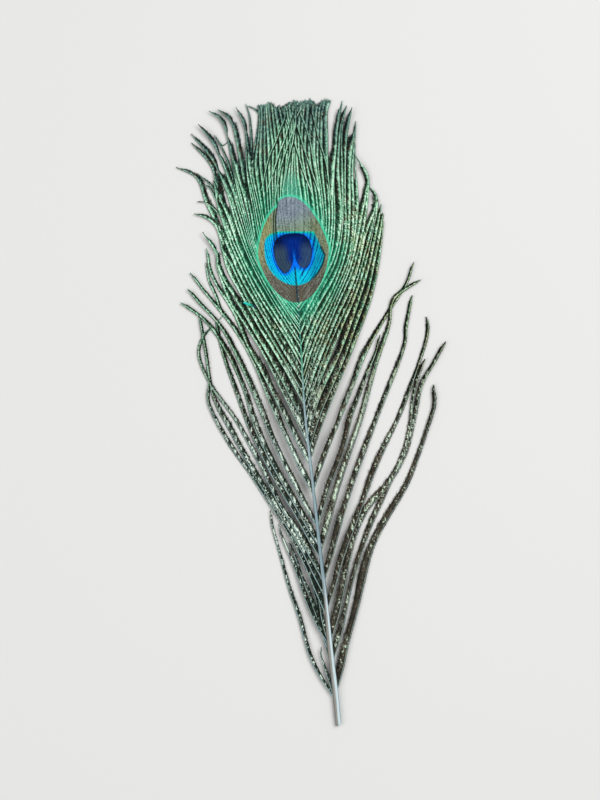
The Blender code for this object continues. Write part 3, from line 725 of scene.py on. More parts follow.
def barb_finish(colours):
    """Barbs and barbules: the eye's pattern by place, and painted light and shade by their marks.
    """
    finish = Finish("barbs", 0.5, specular=0.04)
    at = barb_fields(finish)
    plume = plume_colours(finish.mix, colours, at)
    eye = grained_eye(finish.mix, colours, at)
    finish.set("Base Color", finish.mix(at.ring.rise(0.1, -0.2), plume, eye))
    finish.set("Roughness", 0.45 + at.glint * 0.2)
    return finish.material


def shaft_finish(colours):
    """Horn-like shaft: blue-white above, and along the quill a warm grey side of painted shade
    and a white side of painted highlight.
    """
    finish = Finish("shaft", 0.36, specular=0.4)
    mix = finish.mix
    spot, _, along = finish.place()
    turned = finish.mark("turned")
    stretched = finish.add("ShaderNodeMapping", {}, Vector=spot, Scale=(1.0, 0.06, 1.0))
    grain = finish.noise(stretched, 2600.0, 3.0) - 0.5
    patch = finish.noise(spot, 120.0) - 0.5
    # Painted light: the quill is white with a painted highlight on one side and grey with painted
    # shade on the other.
    quill = mix((turned + patch * 0.5).rise(-0.25, 0.3), colours.shaft_grey_and_shade,
                colours.shaft_white_and_highlight)
    upper = mix((turned + patch * 0.4).rise(0.1, -0.7) * (0.4 + along.rise(85.0, 120.0) * 0.6),
                colours.shaft_blue, mix(0.55, colours.shaft_blue, colours.shaft_white_and_highlight))
    skin = mix((along + patch * 8.0).rise(52.0, 70.0), quill, upper)
    edge = (abs(turned) + along.rise(46.0, 60.0) * 0.12).rise(0.66, 0.95)
    skin = mix(edge * 0.85, skin, colours.shaft_edge)
    skin = mix((along + patch * 10.0).rise(138.0, 168.0) * 0.85, skin, colours.mint)
    skin = mix((grain * 0.9 + patch * 0.3).at_least(0.0) * along.rise(168.0, 140.0), skin,
               colours.shaft_white_and_highlight)
    skin = mix((grain * -0.8).at_least(0.0), skin, colours.shaft_grey_and_shade)
    skin = mix(along.rise(160.0, 178.0), skin, mix(0.2, colours.navy, colours.turquoise))
    skin = mix(along.rise(201.0, 203.0), skin, colours.azure)
    finish.set("Base Color", skin)
    finish.set("Roughness", 0.3 + grain * 0.25 + along.rise(150.0, 185.0) * 0.5)
    ridges = finish.add("ShaderNodeBump", {}, Strength=0.25, Distance=0.0001, Height=grain)
    finish.set("Normal", ridges)
    return finish.material


def fleck_finish(colours):
    """The loose bit of blue barb on the vane: turquoise at one end and navy at the other."""
    finish = Finish("fleck", 0.4, specular=0.25)
    spot, across, _ = finish.place()
    run = (across - FLECK_ENDS[0][0]) / (FLECK_ENDS[1][0] - FLECK_ENDS[0][0])
    streak = finish.noise(spot, 1500.0) - 0.5
    blue = finish.mix((run + streak * 0.3).rise(0.35, 0.9), colours.turquoise, colours.navy)
    finish.set("Base Color", finish.mix(run.rise(0.6, 0.2) * 0.3, blue, colours.cyan))
    return finish.material


def floor_finish(colours):
    """The pale ground, faintly clouded."""
    finish = Finish("floor", 0.9, specular=0.2)
    spot = finish.add("ShaderNodeTexCoord", {}, output="Object")
    cloud = finish.noise(spot, 3.0, 1.0)
    finish.set("Base Color", finish.mix(cloud * 0.06, colours.floor, (1.0, 1.0, 1.0)))
    return finish.material


# ---------------------------------------------------------------- courses of the barbs

def smooth(value, low, high):
    """0 up to low, 1 from high, and smooth between."""
    share = np.clip((value - low) / (high - low), 0.0, 1.0)
    return share * share * (3.0 - 2.0 * share)


def curve_through(points, steps=8):
    """Many points on the smooth curve that passes through all the given ones."""
    points = np.asarray(points, float)
    ends = np.vstack([2 * points[0] - points[1], points, 2 * points[-1] - points[-2]])
    t = (np.arange(steps) / steps)[:, None]
    found = []
    for before, start, end, after in zip(ends, ends[1:], ends[2:], ends[3:]):
        found.append(0.5 * (2 * start + (end - before) * t
                            + (2 * before - 5 * start + 4 * end - after) * t ** 2
                            + (3 * start - before - 3 * end + after) * t ** 3))
    return np.vstack(found + [points[-1:]])


def shares_of(points):
    """The share of a course's length at each of its points, and that length."""
    reach = np.concatenate([[0.0], np.cumsum(np.linalg.norm(np.diff(points, axis=0), axis=1))])
    return reach / reach[-1], reach[-1]


def resampled(points, count):
    """The same course with a number of evenly spaced points."""
    share, _ = shares_of(points)
    wanted = np.linspace(0, 1, count)
    return np.stack([np.interp(wanted, share, points[:, k]) for k in range(points.shape[1])],
                    axis=1)


def headings(course):
    """Unit steps along a flat course."""
    steps = np.gradient(course, axis=0)
    return steps / np.linalg.norm(steps, axis=1)[:, None]


def to_the_right(heading):
    """The headings after a quarter turn to the right."""
    return np.column_stack([heading[:, 1], -heading[:, 0]])


def in_frame(points):
    """Millimetres from the quill's cut end turned into metres in the frame."""
    return (points - (*BOX_MIDDLE, 0.0)) * MM + (*FRAME_MIDDLE, 0.0)


def shaft_width(along):
    """Width at each place along, eased from one given place to the next."""
    width = np.full(np.shape(along), SHAFT_WIDTHS[-1][1], float)
    for (start, wide), (end, narrow) in reversed(list(zip(SHAFT_WIDTHS, SHAFT_WIDTHS[1:]))):
        step = wide + (narrow - wide) * smooth(np.asarray(along, float), start, end)
        width = np.where(np.asarray(along) < end, step, width)
    return width


def shaft_across(along):
    """Where the shaft's middle line is across, at each place along."""
    across, height = np.transpose(SHAFT_LINE)
    return np.interp(along, height, across)


def shaft_middle(along):
    """Height of the shaft's middle line: it lies at both ends and arches between."""
    arch = np.sin(math.pi * np.minimum(np.asarray(along, float) / ARCH_END, 1.0)) ** 2
    underside = ARCH_HEIGHT * arch + SHAFT_CLEARANCE * smooth(along, 0.0, CLEARANCE_RUN)
    return underside + shaft_width(along) * DEPTH_SHARE / 2


def barb_height(root_along, travelled):
    """Height of a barb's middle line, which droops from the shaft to its resting height."""
    rise = max(float(shaft_middle(root_along) - shaft_middle(ARCH_END)), 0.0)
    return VANE_REST + rise * (1.0 - smooth(travelled, 0.0, FALL_LENGTH))


class Barb:
    """A barb's course in three dimensions. Its band of barbules is on its inner side."""

    # How many stations a course has.
    COUNT = 64

    def __init__(self, flat, side, root_along=None, lift=0.0, curl=0.0, shift=0.0):
        """Side is -1 on the left. Curl lifts the tip, and shift moves the middle outwards."""
        flat = resampled(np.asarray(flat, float), self.COUNT)
        _, self.length = shares_of(flat)
        self.share = np.linspace(0, 1, self.COUNT)
        self.side = side
        if root_along is None:
            root_along = flat[0, 1]
        self.heading = headings(flat)
        settled = smooth(self.share * self.length, 0.0, 14.0) * (1 - smooth(self.share, 0.9, 1.0))
        flat = flat + to_the_right(self.heading) * side * (settled * shift)[:, None]
        height = barb_height(root_along, self.share * self.length) + lift
        height = height + curl * smooth(self.share, 0.6, 1.0) ** 2
        self.points = np.column_stack([flat, height])

    def read(self, values, share):
        """Values between those of the stations."""
        return np.stack([np.interp(share, self.share, values[:, k])
                         for k in range(values.shape[1])], axis=1)

    def at(self, share):
        """Points, headings and inward directions."""
        points = self.read(self.points, share)
        heading = self.read(self.heading, share)
        heading /= np.linalg.norm(heading, axis=1)[:, None]
        inward = to_the_right(heading) * -self.side
        flat = np.zeros((len(points), 1))
        return points, np.hstack([heading, flat]), np.hstack([inward, flat])


# ---------------------------------------------------------------- meshes of many barbules

class Growth:
    """What one piece is made of, gathered before its mesh is made."""

    def __init__(self, leaf):
        self.leaf_points, self.leaf_faces = leaf
        self.points, self.faces, self.marks = [], [], []
        self.cells, self.corners = [], []
        self.count = self.cell_count = 0

    def add(self, points, faces, marks, cells, corners):
        """Points (n, 3), faces (m, 4), marks (n, 3), and where each face is on the bake map."""
        self.points.append(points)
        self.faces.append(faces + self.count)
        self.marks.append(marks)
        self.cells.append(cells + self.cell_count)
        self.corners.append(corners)
        self.count += len(points)
        self.cell_count += int(cells.max()) + 1

    def leaves(self, barb, shares, lengths, opening, rise, fall, width, rng, glint,
               inward_sign=1.0):
        """A copy of the barbule at each share of the barb, swept forward and curved."""
        keep = lengths > SHORTEST_BARBULE
        shares, lengths, glint = shares[keep], lengths[keep], glint[keep]
        number = len(shares)
        if not number:
            return
        base, ahead, inward = barb.at(shares)
        inward = inward * inward_sign
        t = self.leaf_points[:, 0]
        start = opening * (1 + 0.12 * rng.standard_normal(number))
        bend = -0.35 * start
        angle = start[:, None] + bend[:, None] * t
        inner = (np.cos(start)[:, None] - np.cos(angle)) / bend[:, None]
        forward = (np.sin(angle) - np.sin(start)[:, None]) / bend[:, None]
        tilt = rng.normal(0.0, 0.3, number)[:, None]
        half = self.leaf_points[:, 1] * width * (0.85 + 0.3 * rng.random(number))[:, None]
        height = rise * np.sin(math.pi * t) - fall * t ** 1.4 + self.leaf_points[:, 2] * 0.1
        height = height + half * np.sin(tilt) + rng.normal(0.0, 0.03, number)[:, None]
        flat_half = half * np.cos(tilt)
        forward = forward * lengths[:, None] + flat_half * np.sin(angle)
        inner = inner * lengths[:, None] - flat_half * np.cos(angle)
        points = (base[:, None] + ahead[:, None] * forward[:, :, None]
                  + inward[:, None] * inner[:, :, None])
        points[:, :, 2] += height
        faces = self.leaf_faces
        if barb.side * inward_sign > 0:
            faces = faces[:, ::-1]
        per_leaf = len(t)
        offsets = (np.arange(number) * per_leaf)[:, None, None]
        every_face = (faces[None] + offsets).reshape(-1, 4)
        marks = np.zeros((number, per_leaf, 3))
        marks[:, :, 0] = t
        marks[:, :, 1] = 0.84 * glint[:, None] + 0.16 * rng.random((number, per_leaf))
        spread = np.column_stack([t, self.leaf_points[:, 1] + 0.5])
        corners = np.broadcast_to(spread[faces], (number, len(faces), 4, 2)).reshape(-1, 4, 2)
        cells = np.repeat(np.arange(number), len(faces))
        self.add(points.reshape(-1, 3), every_face, marks.reshape(-1, 3), cells, corners)

    def strip(self, rings, marks, closed):
        """Faces between rings of points (stations, points, 3), one bake cell a segment."""
        stations, around = rings.shape[:2]
        spans = around if closed else around - 1
        first = np.arange(stations - 1)[:, None] * around
        index = np.arange(spans)[None]
        after = (index + 1) % around
        faces = np.stack([first + index, first + after, first + around + after,
                          first + around + index], axis=-1)
        left, right = index / spans, (index + 1) / spans
        corner = np.stack([np.stack([left, np.zeros_like(left)], -1),
                           np.stack([right, np.zeros_like(left)], -1),
                           np.stack([right, np.ones_like(left)], -1),
                           np.stack([left, np.ones_like(left)], -1)], axis=-2)
        corners = np.broadcast_to(corner, (stations - 1, spans, 4, 2)).reshape(-1, 4, 2)
        cells = np.repeat(np.arange(stations - 1), spans)
        self.add(rings.reshape(-1, 3), faces.reshape(-1, 4), marks.reshape(-1, 3), cells,
                 corners)

    def stem(self, barb, root_radius, tip_radius, rng):
        """The barb's own stem, a fine tapered tube."""
        stations = max(8, int(barb.length / STEM_STEP))
        share = np.linspace(0.0, 1.0, stations)
        middle, _, inward = barb.at(share)
        radius = root_radius + (tip_radius - root_radius) * share
        radius = radius * (1 + 0.06 * rng.standard_normal(stations))
        radius[-1] *= 0.35
        turn = 2 * math.pi * (np.arange(STEM_SIDES) + 0.5) / STEM_SIDES
        up = np.array([0.0, 0.0, 1.0])
        rings = (middle[:, None] + radius[:, None, None] * (
            inward[:, None] * barb.side * np.cos(turn)[None, :, None]
            + up * np.sin(turn)[None, :, None]))
        marks = np.zeros((stations, STEM_SIDES, 3))
        marks[:, :, 1] = 0.5 + 0.16 * rng.standard_normal(stations)[:, None]
        marks[:, :, 2] = 1.0
        self.strip(rings, marks, True)

    def web(self, barb, widths, drop, rng):
        """A thin sheet under a band, where the barbules hook together, marked dark: partly the
        barbules' own dark colour and partly painted shade in the gaps between barbs.
        """
        start, end = WEB_SHARES
        stations = max(8, int(barb.length * (end - start) / WEB_STEP))
        share = np.linspace(start, end, stations)
        middle, _, inward = barb.at(share)
        wide = np.interp(share, barb.share, widths)
        across = np.array([-0.12, 0.5, 1.0])
        rings = middle[:, None] + inward[:, None] * (wide[:, None] * across)[:, :, None]
        rings[:, :, 2] -= 0.08 + drop * across.clip(0.0)
        marks = np.zeros((stations, 3, 3))
        marks[:, :, 0] = 0.85 * (0.6 + 0.4 * across.clip(0.0))
        marks[:, :, 1] = 0.3 + 0.12 * rng.standard_normal(stations)[:, None]
        if barb.side < 0:
            rings, marks = rings[:, ::-1], marks[:, ::-1]
        self.strip(rings, marks, False)

    def build(self, name):
        """The mesh, with its marks for the finish and one bake cell for each small part."""
        points = np.vstack(self.points)
        points[:, 2] = np.maximum(points[:, 2], LOWEST)
        mesh = bpy.data.meshes.new(name)
        mesh.from_pydata(in_frame(points), [], np.vstack(self.faces))
        marks = np.vstack(self.marks)
        for column, mark in enumerate(("reach", "glint", "stem")):
            layer = mesh.attributes.new(mark, "FLOAT", "POINT")
            layer.data.foreach_set("value", marks[:, column].astype(np.float32))
        cells = np.concatenate(self.cells)
        corners = np.vstack(self.corners)
        side = math.ceil(math.sqrt(self.cell_count))
        origin = np.stack([cells % side, cells // side], axis=-1)[:, None]
        spread = (origin + 0.12 + 0.76 * corners) / side
        mesh.uv_layers.new(name="OFBake").data.foreach_set(
            "uv", spread.reshape(-1).astype(np.float32))
        mesh.update()
        piece = bpy.data.objects.new(name, mesh)
        bpy.context.scene.collection.objects.link(piece)
        return piece


def stand_for_feather(piece, material):
    """Give a piece its finish and put it in the place of the part's solid."""
    mesh = piece.data
    mesh.polygons.foreach_set("use_smooth", [True] * len(mesh.polygons))
    mesh.materials.append(material)
    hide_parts(NODE)
    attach(piece, "root")


def one_barbule():
    """The barbule that every other one is a copy of: a small cambered blade."""
    bpy.ops.object.select_all(action="DESELECT")
    bpy.ops.mesh.primitive_plane_add(size=1.0, location=(0.5, 0.0, 0.0))
    blade = bpy.context.object
    bpy.ops.object.transform_apply(location=True, rotation=False, scale=False)
    bpy.ops.object.mode_set(mode="EDIT")
    bpy.ops.mesh.select_all(action="DESELECT")
    bpy.ops.object.mode_set(mode="OBJECT")
    # Three faces long, made by pulling the outer edge on twice.
    mesh = blade.data
    for vertex in mesh.vertices:
        vertex.co.x /= 3
        vertex.select = vertex.co.x > 0.1
    for edge in mesh.edges:
        edge.select = all(mesh.vertices[index].select for index in edge.vertices)
    bpy.ops.object.mode_set(mode="EDIT")
    for narrowing in (0.8, 0.2):
        bpy.ops.mesh.extrude_region_move(
            TRANSFORM_OT_translate={"value": (1 / 3, 0.0, 0.0)})
        bpy.ops.transform.resize(value=(1.0, narrowing, 1.0), center_override=(0, 0, 0))
    bpy.ops.object.mode_set(mode="OBJECT")
    for vertex in mesh.vertices:
        if vertex.co.x < 0.01:
            vertex.co.y *= 0.7
        vertex.co.z = 0.25 * math.sin(math.pi * vertex.co.x)
    points = np.array([vertex.co[:] for vertex in mesh.vertices])
    faces = np.array([face.vertices[:] for face in mesh.polygons])
    first = points[faces[0]]
    if np.cross(first[1] - first[0], first[2] - first[1])[2] < 0:
        faces = faces[:, ::-1]
    bpy.data.objects.remove(blade, do_unlink=True)
    return points, faces


def glints(count, rng, run):
    """From 0 to 1, alike over a few neighbours, with longer stretches that shine or are dull."""
    knots = rng.random(int(count / run) + 2)
    clump = np.interp(np.arange(count) / run, np.arange(len(knots)), knots)
    slow = rng.normal(0.0, 1.0, int(count / STRETCH_RUN) + 3)
    stretch = np.interp(np.arange(count) / STRETCH_RUN, np.arange(len(slow)), slow)
    own = rng.normal(0.0, 0.09)
    return np.clip(0.75 * clump + 0.25 * rng.random(count) + 0.09 * stretch + own, 0.0, 1.0)


def wander(flat, rng, amount):
    """The flat course with slow sideways drifts that grow from the root."""
    share = np.linspace(0, 1, len(flat))
    drift = (0.65 * np.sin(2 * math.pi * (rng.uniform(0.7, 1.5) * share + rng.random()))
             + 0.35 * np.sin(2 * math.pi * (rng.uniform(2.2, 3.6) * share + rng.random())))
    grown = drift * amount * smooth(share, 0.0, 0.5)
    return flat + to_the_right(headings(flat)) * grown[:, None]


def sideways(first, second):
    """How far the second course lies to the side of the first, station by station."""
    heading = headings(first)
    step = second - first
    return np.abs(heading[:, 0] * step[:, 1] - heading[:, 1] * step[:, 0])


def vane_places(routes, sizes, rng):
    """Nearly even places for the barbs of a vane, as numbers in its list of routes."""
    last = len(routes) - 1
    third = len(routes[0]) // 3
    places = []
    for index in range(last):
        gap = sideways(routes[index], routes[index + 1])[third:-4].mean() * MM
        closer = min(index / NARROWING_ROUTES, 1.0)
        pitch = sizes.outer_pitch + (sizes.inner_pitch - sizes.outer_pitch) * closer
        steps = max(1, round(gap / pitch))
        places.append(index)
        places += [index + (step + rng.uniform(-0.2, 0.2)) / steps for step in range(1, steps)]
    return places + [last]


def trimmed(flat):
    """The part of a course that is below the crown's cut edge."""
    edge = np.interp(flat[:, 0], *np.transpose(CROWN_EDGE))
    past = np.flatnonzero(flat[:, 1] > edge)
    return flat[:past[0]] if len(past) and past[0] > len(flat) // 2 else flat


def vane_course(place, routes, closed, slot, rng):
    """One barb's flat course, its share in the closed vane, and whether it has a free tip."""
    count = Barb.COUNT
    last = len(routes) - 1
    share = np.linspace(0, 1, count)
    free = float(np.interp(place, np.arange(last + 1), closed))
    in_slot = bool(slot) and slot[0] < place < slot[1]
    whole = abs(place - round(place)) < 0.01
    tipped = free < NO_TIP
    leaving = slot[2] if in_slot else free
    # Past the closed vane a barb between two routes keeps close to the nearer one.
    pull = 0.85 if (tipped or in_slot) and not whole else 0.0
    now = place + (round(place) - place) * pull * smooth(share, leaving * 0.75, leaving)
    low = np.minimum(now.astype(int), last - 1)
    part = (now - low)[:, None]
    steps = np.arange(count)
    flat = routes[low, steps] * (1 - part) + routes[low + 1, steps] * part
    flat = wander(flat, rng, 0.3)
    kept = count
    if tipped and not whole:
        kept = int(count * (free + (1 - free) * rng.uniform(0.1, 0.55)))
    flat = flat[:kept] if tipped else trimmed(flat)
    return flat, min(free * count / kept, 1.0), tipped


def grow_vane(growth, vane, side, sizes, rng, with_axis, slot=None, apart=None):
    """The closed half vane, with its free tips.

    The last route is the one straight above the shaft, and only one half grows a barb on it.
    """
    routes = np.stack([resampled(curve_through(points), Barb.COUNT) for _, points in vane])
    closed = np.array([share for share, _ in vane])
    places = vane_places(routes, sizes, rng)
    if not with_axis:
        places.pop()
    barbs, ends = [], []
    for place in places:
        flat, free, tipped = vane_course(place, routes, closed, slot, rng)
        curl = abs(rng.normal(0, 1.0)) if tipped else rng.normal(0.2, 0.2)
        barbs.append(Barb(flat, side, lift=0.3 + rng.normal(0, 0.05), curl=curl))
        ends.append(free if tipped else 1.0)
    for index, barb in enumerate(barbs):
        other = barbs[index + 1 if index + 1 < len(barbs) else index - 1]
        gap = sideways(barb.points[:, :2], other.points[:, :2])
        cut = ends[index] > 0.99
        parted = smooth(gap, *PARTING_GAPS)
        if apart and index == 0:
            parted = np.maximum(parted, smooth(barb.share, *apart))
        if not cut:
            parted = np.maximum(parted, smooth(barb.share, ends[index] - 0.1,
                                               ends[index] + 0.05))
        alone = 2.05 - 1.2 * smooth(barb.share, 0.85, 1.0)
        closing = np.minimum(gap * rng.uniform(1.18, 1.36), sizes.widest_band / MM).clip(0.4)
        band = closing * (1 - parted) + np.minimum(alone, closing) * parted
        grow_barb(growth, barb, band, sizes, rng, sizes.ramus_radius / MM, opening=0.72,
                  fall=0.42, outer=0.55, cut=cut)


def grow_barb(growth, barb, band, sizes, rng, radius, opening=0.7, fall=0.3, outer=0.6,
              run=3.4, web=True, cut=False):
    """A barb's stem, its band of barbules, the short ones outside and the web below.

    Band is how far the barbules reach inwards at each station, and outer how far outwards.
    Opening is their angle to the stem, and fall how far their ends droop. Run is how many
    neighbours shine alike. A cut barb ends wide, and any other in a point.
    """
    growth.stem(barb, radius, radius * 0.45, rng)
    number = int(barb.length / (sizes.barbule_pitch / MM))
    share = np.linspace(*BARBULE_SHARES, number)
    ending = smooth(share * barb.length, 0.0, 8.0) * 0.7 + 0.3
    if cut:
        ending = ending * np.clip((1 - share) * barb.length / 2.4, 0.25, 1.0)
    else:
        ending = np.minimum(ending, np.clip((1 - share) * barb.length / 6.0, 0.15, 1.0) ** 0.5)
    lengths = np.interp(share, barb.share, band) / math.sin(opening * 0.82) * ending
    lengths = lengths * rng.uniform(0.88, 1.08, number)
    width = sizes.barbule_width / MM
    growth.leaves(barb, share, lengths, opening, 0.1, fall, width, rng,
                  glints(number, rng, run))
    number = int(number * 0.75)
    share = np.linspace(*BARBULE_SHARES, number)
    ending = np.clip((1 - share) * barb.length / (1.5 if cut else 5.0), 0.2, 1.0) ** 0.5
    ending = ending * (0.15 + 0.85 * smooth(share * barb.length, 0.0, 6.0))
    outer = np.interp(share, barb.share, np.broadcast_to(outer, barb.share.shape))
    lengths = outer * ending * rng.uniform(0.7, 1.15, number)
    growth.leaves(barb, share, lengths, opening * 0.8, 0.02, 0.25, width * 0.9, rng,
                  glints(number, rng, run), inward_sign=-1.0)
    if web:
        growth.web(barb, band * 0.92, fall * 0.8, rng)


def grow_loose(growth, loose, side, sizes, rng):
    """The loose barbs of one side, each with its band curled in along the stem."""
    for half_width, points in loose.values():
        flat = wander(resampled(curve_through(points), Barb.COUNT), rng, 0.35)
        barb = Barb(flat, side, root_along=points[0][1], lift=0.25,
                    curl=abs(rng.normal(0.6, 0.6)), shift=half_width * 0.75)
        band = half_width * (2.05 - 1.1 * smooth(barb.share, 0.4, 1.0))
        swell = 1 + 0.14 * np.interp(barb.share, np.linspace(0, 1, 12), rng.normal(0, 1, 12))
        room = np.abs(barb.points[:, 0] - shaft_across(barb.points[:, 1])) + 0.3
        grow_barb(growth, barb, np.minimum(band * swell, room), sizes, rng,
                  sizes.loose_radius / MM, outer=np.minimum(half_width * 0.75, room),
                  fall=0.12, run=4.4)


# ---------------------------------------------------------------- operators

class FeatherMaker:
    """What the operators share."""

    bl_options = {"REGISTER", "UNDO"}

    @staticmethod
    def values(context):
        return context.scene.feather_sizes, context.scene.feather_colours

    def begin(self, context, name):
        """An empty growth, the sizes and the random draws for one piece of barbs."""
        return Growth(one_barbule()), self.values(context)[0], np.random.default_rng(SEEDS[name])

    def end(self, context, growth, name):
        """Turn what has grown into the piece. All the barbs share one finish."""
        barbs = bpy.data.materials.get("barbs") or barb_finish(self.values(context)[1])
        stand_for_feather(growth.build(name), barbs)
        return {"FINISHED"}


class FEATHER_OT_shaft(FeatherMaker, bpy.types.Operator):
    """Draw the shaft out of a ring, from the cut quill to the hair in the eye"""

    bl_idname = "feather.shaft"
    bl_label = "Shaft"

    def execute(self, context):
        line = resampled(curve_through(SHAFT_LINE), SHAFT_STATIONS)
        placed = in_frame(np.column_stack([line, shaft_middle(line[:, 1])]))
        widths = shaft_width(line[:, 1]) * MM
        bpy.ops.object.select_all(action="DESELECT")
        bpy.ops.mesh.primitive_circle_add(vertices=SHAFT_SIDES, radius=widths[0] / 2,
                                          fill_type="NGON", location=placed[0],
                                          rotation=(math.pi / 2, 0.0, 0.0))
        shaft = context.object
        shaft.name = "shaft"
        bpy.ops.object.transform_apply(location=True, rotation=True, scale=True)
        bpy.ops.object.mode_set(mode="EDIT")
        bpy.ops.mesh.select_all(action="SELECT")
        bpy.ops.transform.resize(value=(1.0, 1.0, DEPTH_SHARE), center_override=placed[0])
        for station in range(1, SHAFT_STATIONS):
            step = placed[station] - placed[station - 1]
            bpy.ops.mesh.extrude_region_move(TRANSFORM_OT_translate={"value": step})
            scale = widths[station] / widths[station - 1]
            bpy.ops.transform.resize(value=(scale, 1.0, scale),
                                     center_override=placed[station])
        bpy.ops.mesh.select_all(action="SELECT")
        bpy.ops.mesh.normals_make_consistent(inside=False)
        bpy.ops.object.mode_set(mode="OBJECT")
        self.shape_quill_end(shaft, placed[0], widths[0] / 2)
        self.press_groove(shaft, placed, widths)
        stand_for_feather(shaft, shaft_finish(self.values(context)[1]))
        return {"FINISHED"}

    @staticmethod
    def shape_quill_end(shaft, middle, radius):
        """The cut end: a rounded rim round a shallow pith."""
        mesh = shaft.data
        for face in mesh.polygons:
            face.select = bool(len(face.vertices) > 4 and face.center.y < middle[1] + 1e-5)
        for vertex in mesh.vertices:
            vertex.select = False
        for edge in mesh.edges:
            edge.select = False
        bpy.ops.object.mode_set(mode="EDIT")
        bpy.ops.mesh.select_mode(type="FACE")
        bpy.ops.mesh.inset(thickness=radius * RIM_SHARE, depth=0.0)
        bpy.ops.mesh.inset(thickness=radius * SLOPE_SHARE, depth=0.0)
        bpy.ops.transform.translate(value=(0.0, PITH_DEPTH * MM, 0.0))
        bpy.ops.mesh.select_mode(type="VERT")
        bpy.ops.object.mode_set(mode="OBJECT")
        for vertex in mesh.vertices:
            out = (vertex.co - Vector(middle)).length / radius
            if abs(vertex.co.y - middle[1]) < 1e-6 and out > 0.93:
                vertex.co.y += RIM_ROUNDING * MM
                vertex.co.x += (middle[0] - vertex.co.x) * 0.08
                vertex.co.z += (middle[2] - vertex.co.z) * 0.08

    @staticmethod
    def press_groove(shaft, placed, widths):
        """A groove along the underside above the quill, and where each side is for the finish."""
        turned = []
        for vertex in shaft.data.vertices:
            centre = [np.interp(vertex.co.y, placed[:, 1], placed[:, k]) for k in (0, 2)]
            half = float(np.interp(vertex.co.y, placed[:, 1], widths)) / 2
            out = (vertex.co.x - centre[0]) / half
            above_quill = vertex.co.y > placed[GROOVE_START][1]
            if vertex.co.z < centre[1] and abs(out) < 0.3 and above_quill:
                vertex.co.z += half * GROOVE_DEPTH
            turned.append(out)
        mark = shaft.data.attributes.new("turned", "FLOAT", "POINT")
        mark.data.foreach_set("value", turned)


class FEATHER_OT_left_vane(FeatherMaker, bpy.types.Operator):
    """Grow the left half of the closed vane with its free tips"""

    bl_idname = "feather.left_vane"
    bl_label = "Left vane"

    def execute(self, context):
        growth, sizes, rng = self.begin(context, "left_vane")
        grow_vane(growth, LEFT_VANE, -1, sizes, rng, with_axis=True, apart=EDGE_APART)
        return self.end(context, growth, "left_vane")


class FEATHER_OT_right_vane(FeatherMaker, bpy.types.Operator):
    """Grow the right half of the closed vane"""

    bl_idname = "feather.right_vane"
    bl_label = "Right vane"

    def execute(self, context):
        growth, sizes, rng = self.begin(context, "right_vane")
        grow_vane(growth, RIGHT_VANE, 1, sizes, rng, with_axis=False, slot=CROWN_SLOT)
        return self.end(context, growth, "right_vane")


class FEATHER_OT_crown(FeatherMaker, bpy.types.Operator):
    """Lay the barbs that cross above the eye over the vane"""

    bl_idname = "feather.crown"
    bl_label = "Crossing crown barbs"

    def execute(self, context):
        growth, sizes, rng = self.begin(context, "crown_barbs")
        for number, (side, points) in enumerate(CROWN_CROSSING):
            flat = trimmed(wander(curve_through(points), rng, 0.3))
            barb = Barb(flat, side, root_along=ARCH_END, lift=0.55 + 0.05 * number)
            band = 0.8 * smooth(barb.share, 0.0, 0.2) + 0.1
            grow_barb(growth, barb, band, sizes, rng, sizes.ramus_radius / MM, outer=0.3,
                      cut=True, web=False)
        return self.end(context, growth, "crown_barbs")


class FEATHER_OT_left_loose(FeatherMaker, bpy.types.Operator):
    """Grow the loose barbs on the left of the shaft"""

    bl_idname = "feather.left_loose"
    bl_label = "Left loose barbs"

    def execute(self, context):
        growth, sizes, rng = self.begin(context, "left_loose_barbs")
        grow_loose(growth, LEFT_LOOSE, -1, sizes, rng)
        return self.end(context, growth, "left_loose_barbs")


class FEATHER_OT_right_loose(FeatherMaker, bpy.types.Operator):
    """Grow the loose barbs on the right of the shaft"""

    bl_idname = "feather.right_loose"
    bl_label = "Right loose barbs"

    def execute(self, context):
        growth, sizes, rng = self.begin(context, "right_loose_barbs")
        grow_loose(growth, RIGHT_LOOSE, 1, sizes, rng)
        return self.end(context, growth, "right_loose_barbs")


class FEATHER_OT_stray_tips(FeatherMaker, bpy.types.Operator):
    """Add the short tips and strands at the vane's edges"""

    bl_idname = "feather.stray_tips"
    bl_label = "Stray tips"

    def execute(self, context):
        growth, sizes, rng = self.begin(context, "stray_tips")
        for half_width, points in STRAY_TIPS.values():
            side = -1 if points[0][0] < 0 else 1
            barb = Barb(curve_through(points), side, root_along=ARCH_END, lift=0.35,
                        curl=abs(rng.normal(0.5, 0.4)))
            band = half_width * 1.4 * (1 - 0.5 * smooth(barb.share, 0.4, 1.0))
            grow_barb(growth, barb, band, sizes, rng, sizes.ramus_radius / MM * 0.8,
                      outer=half_width * 0.6)
        return self.end(context, growth, "stray_tips")


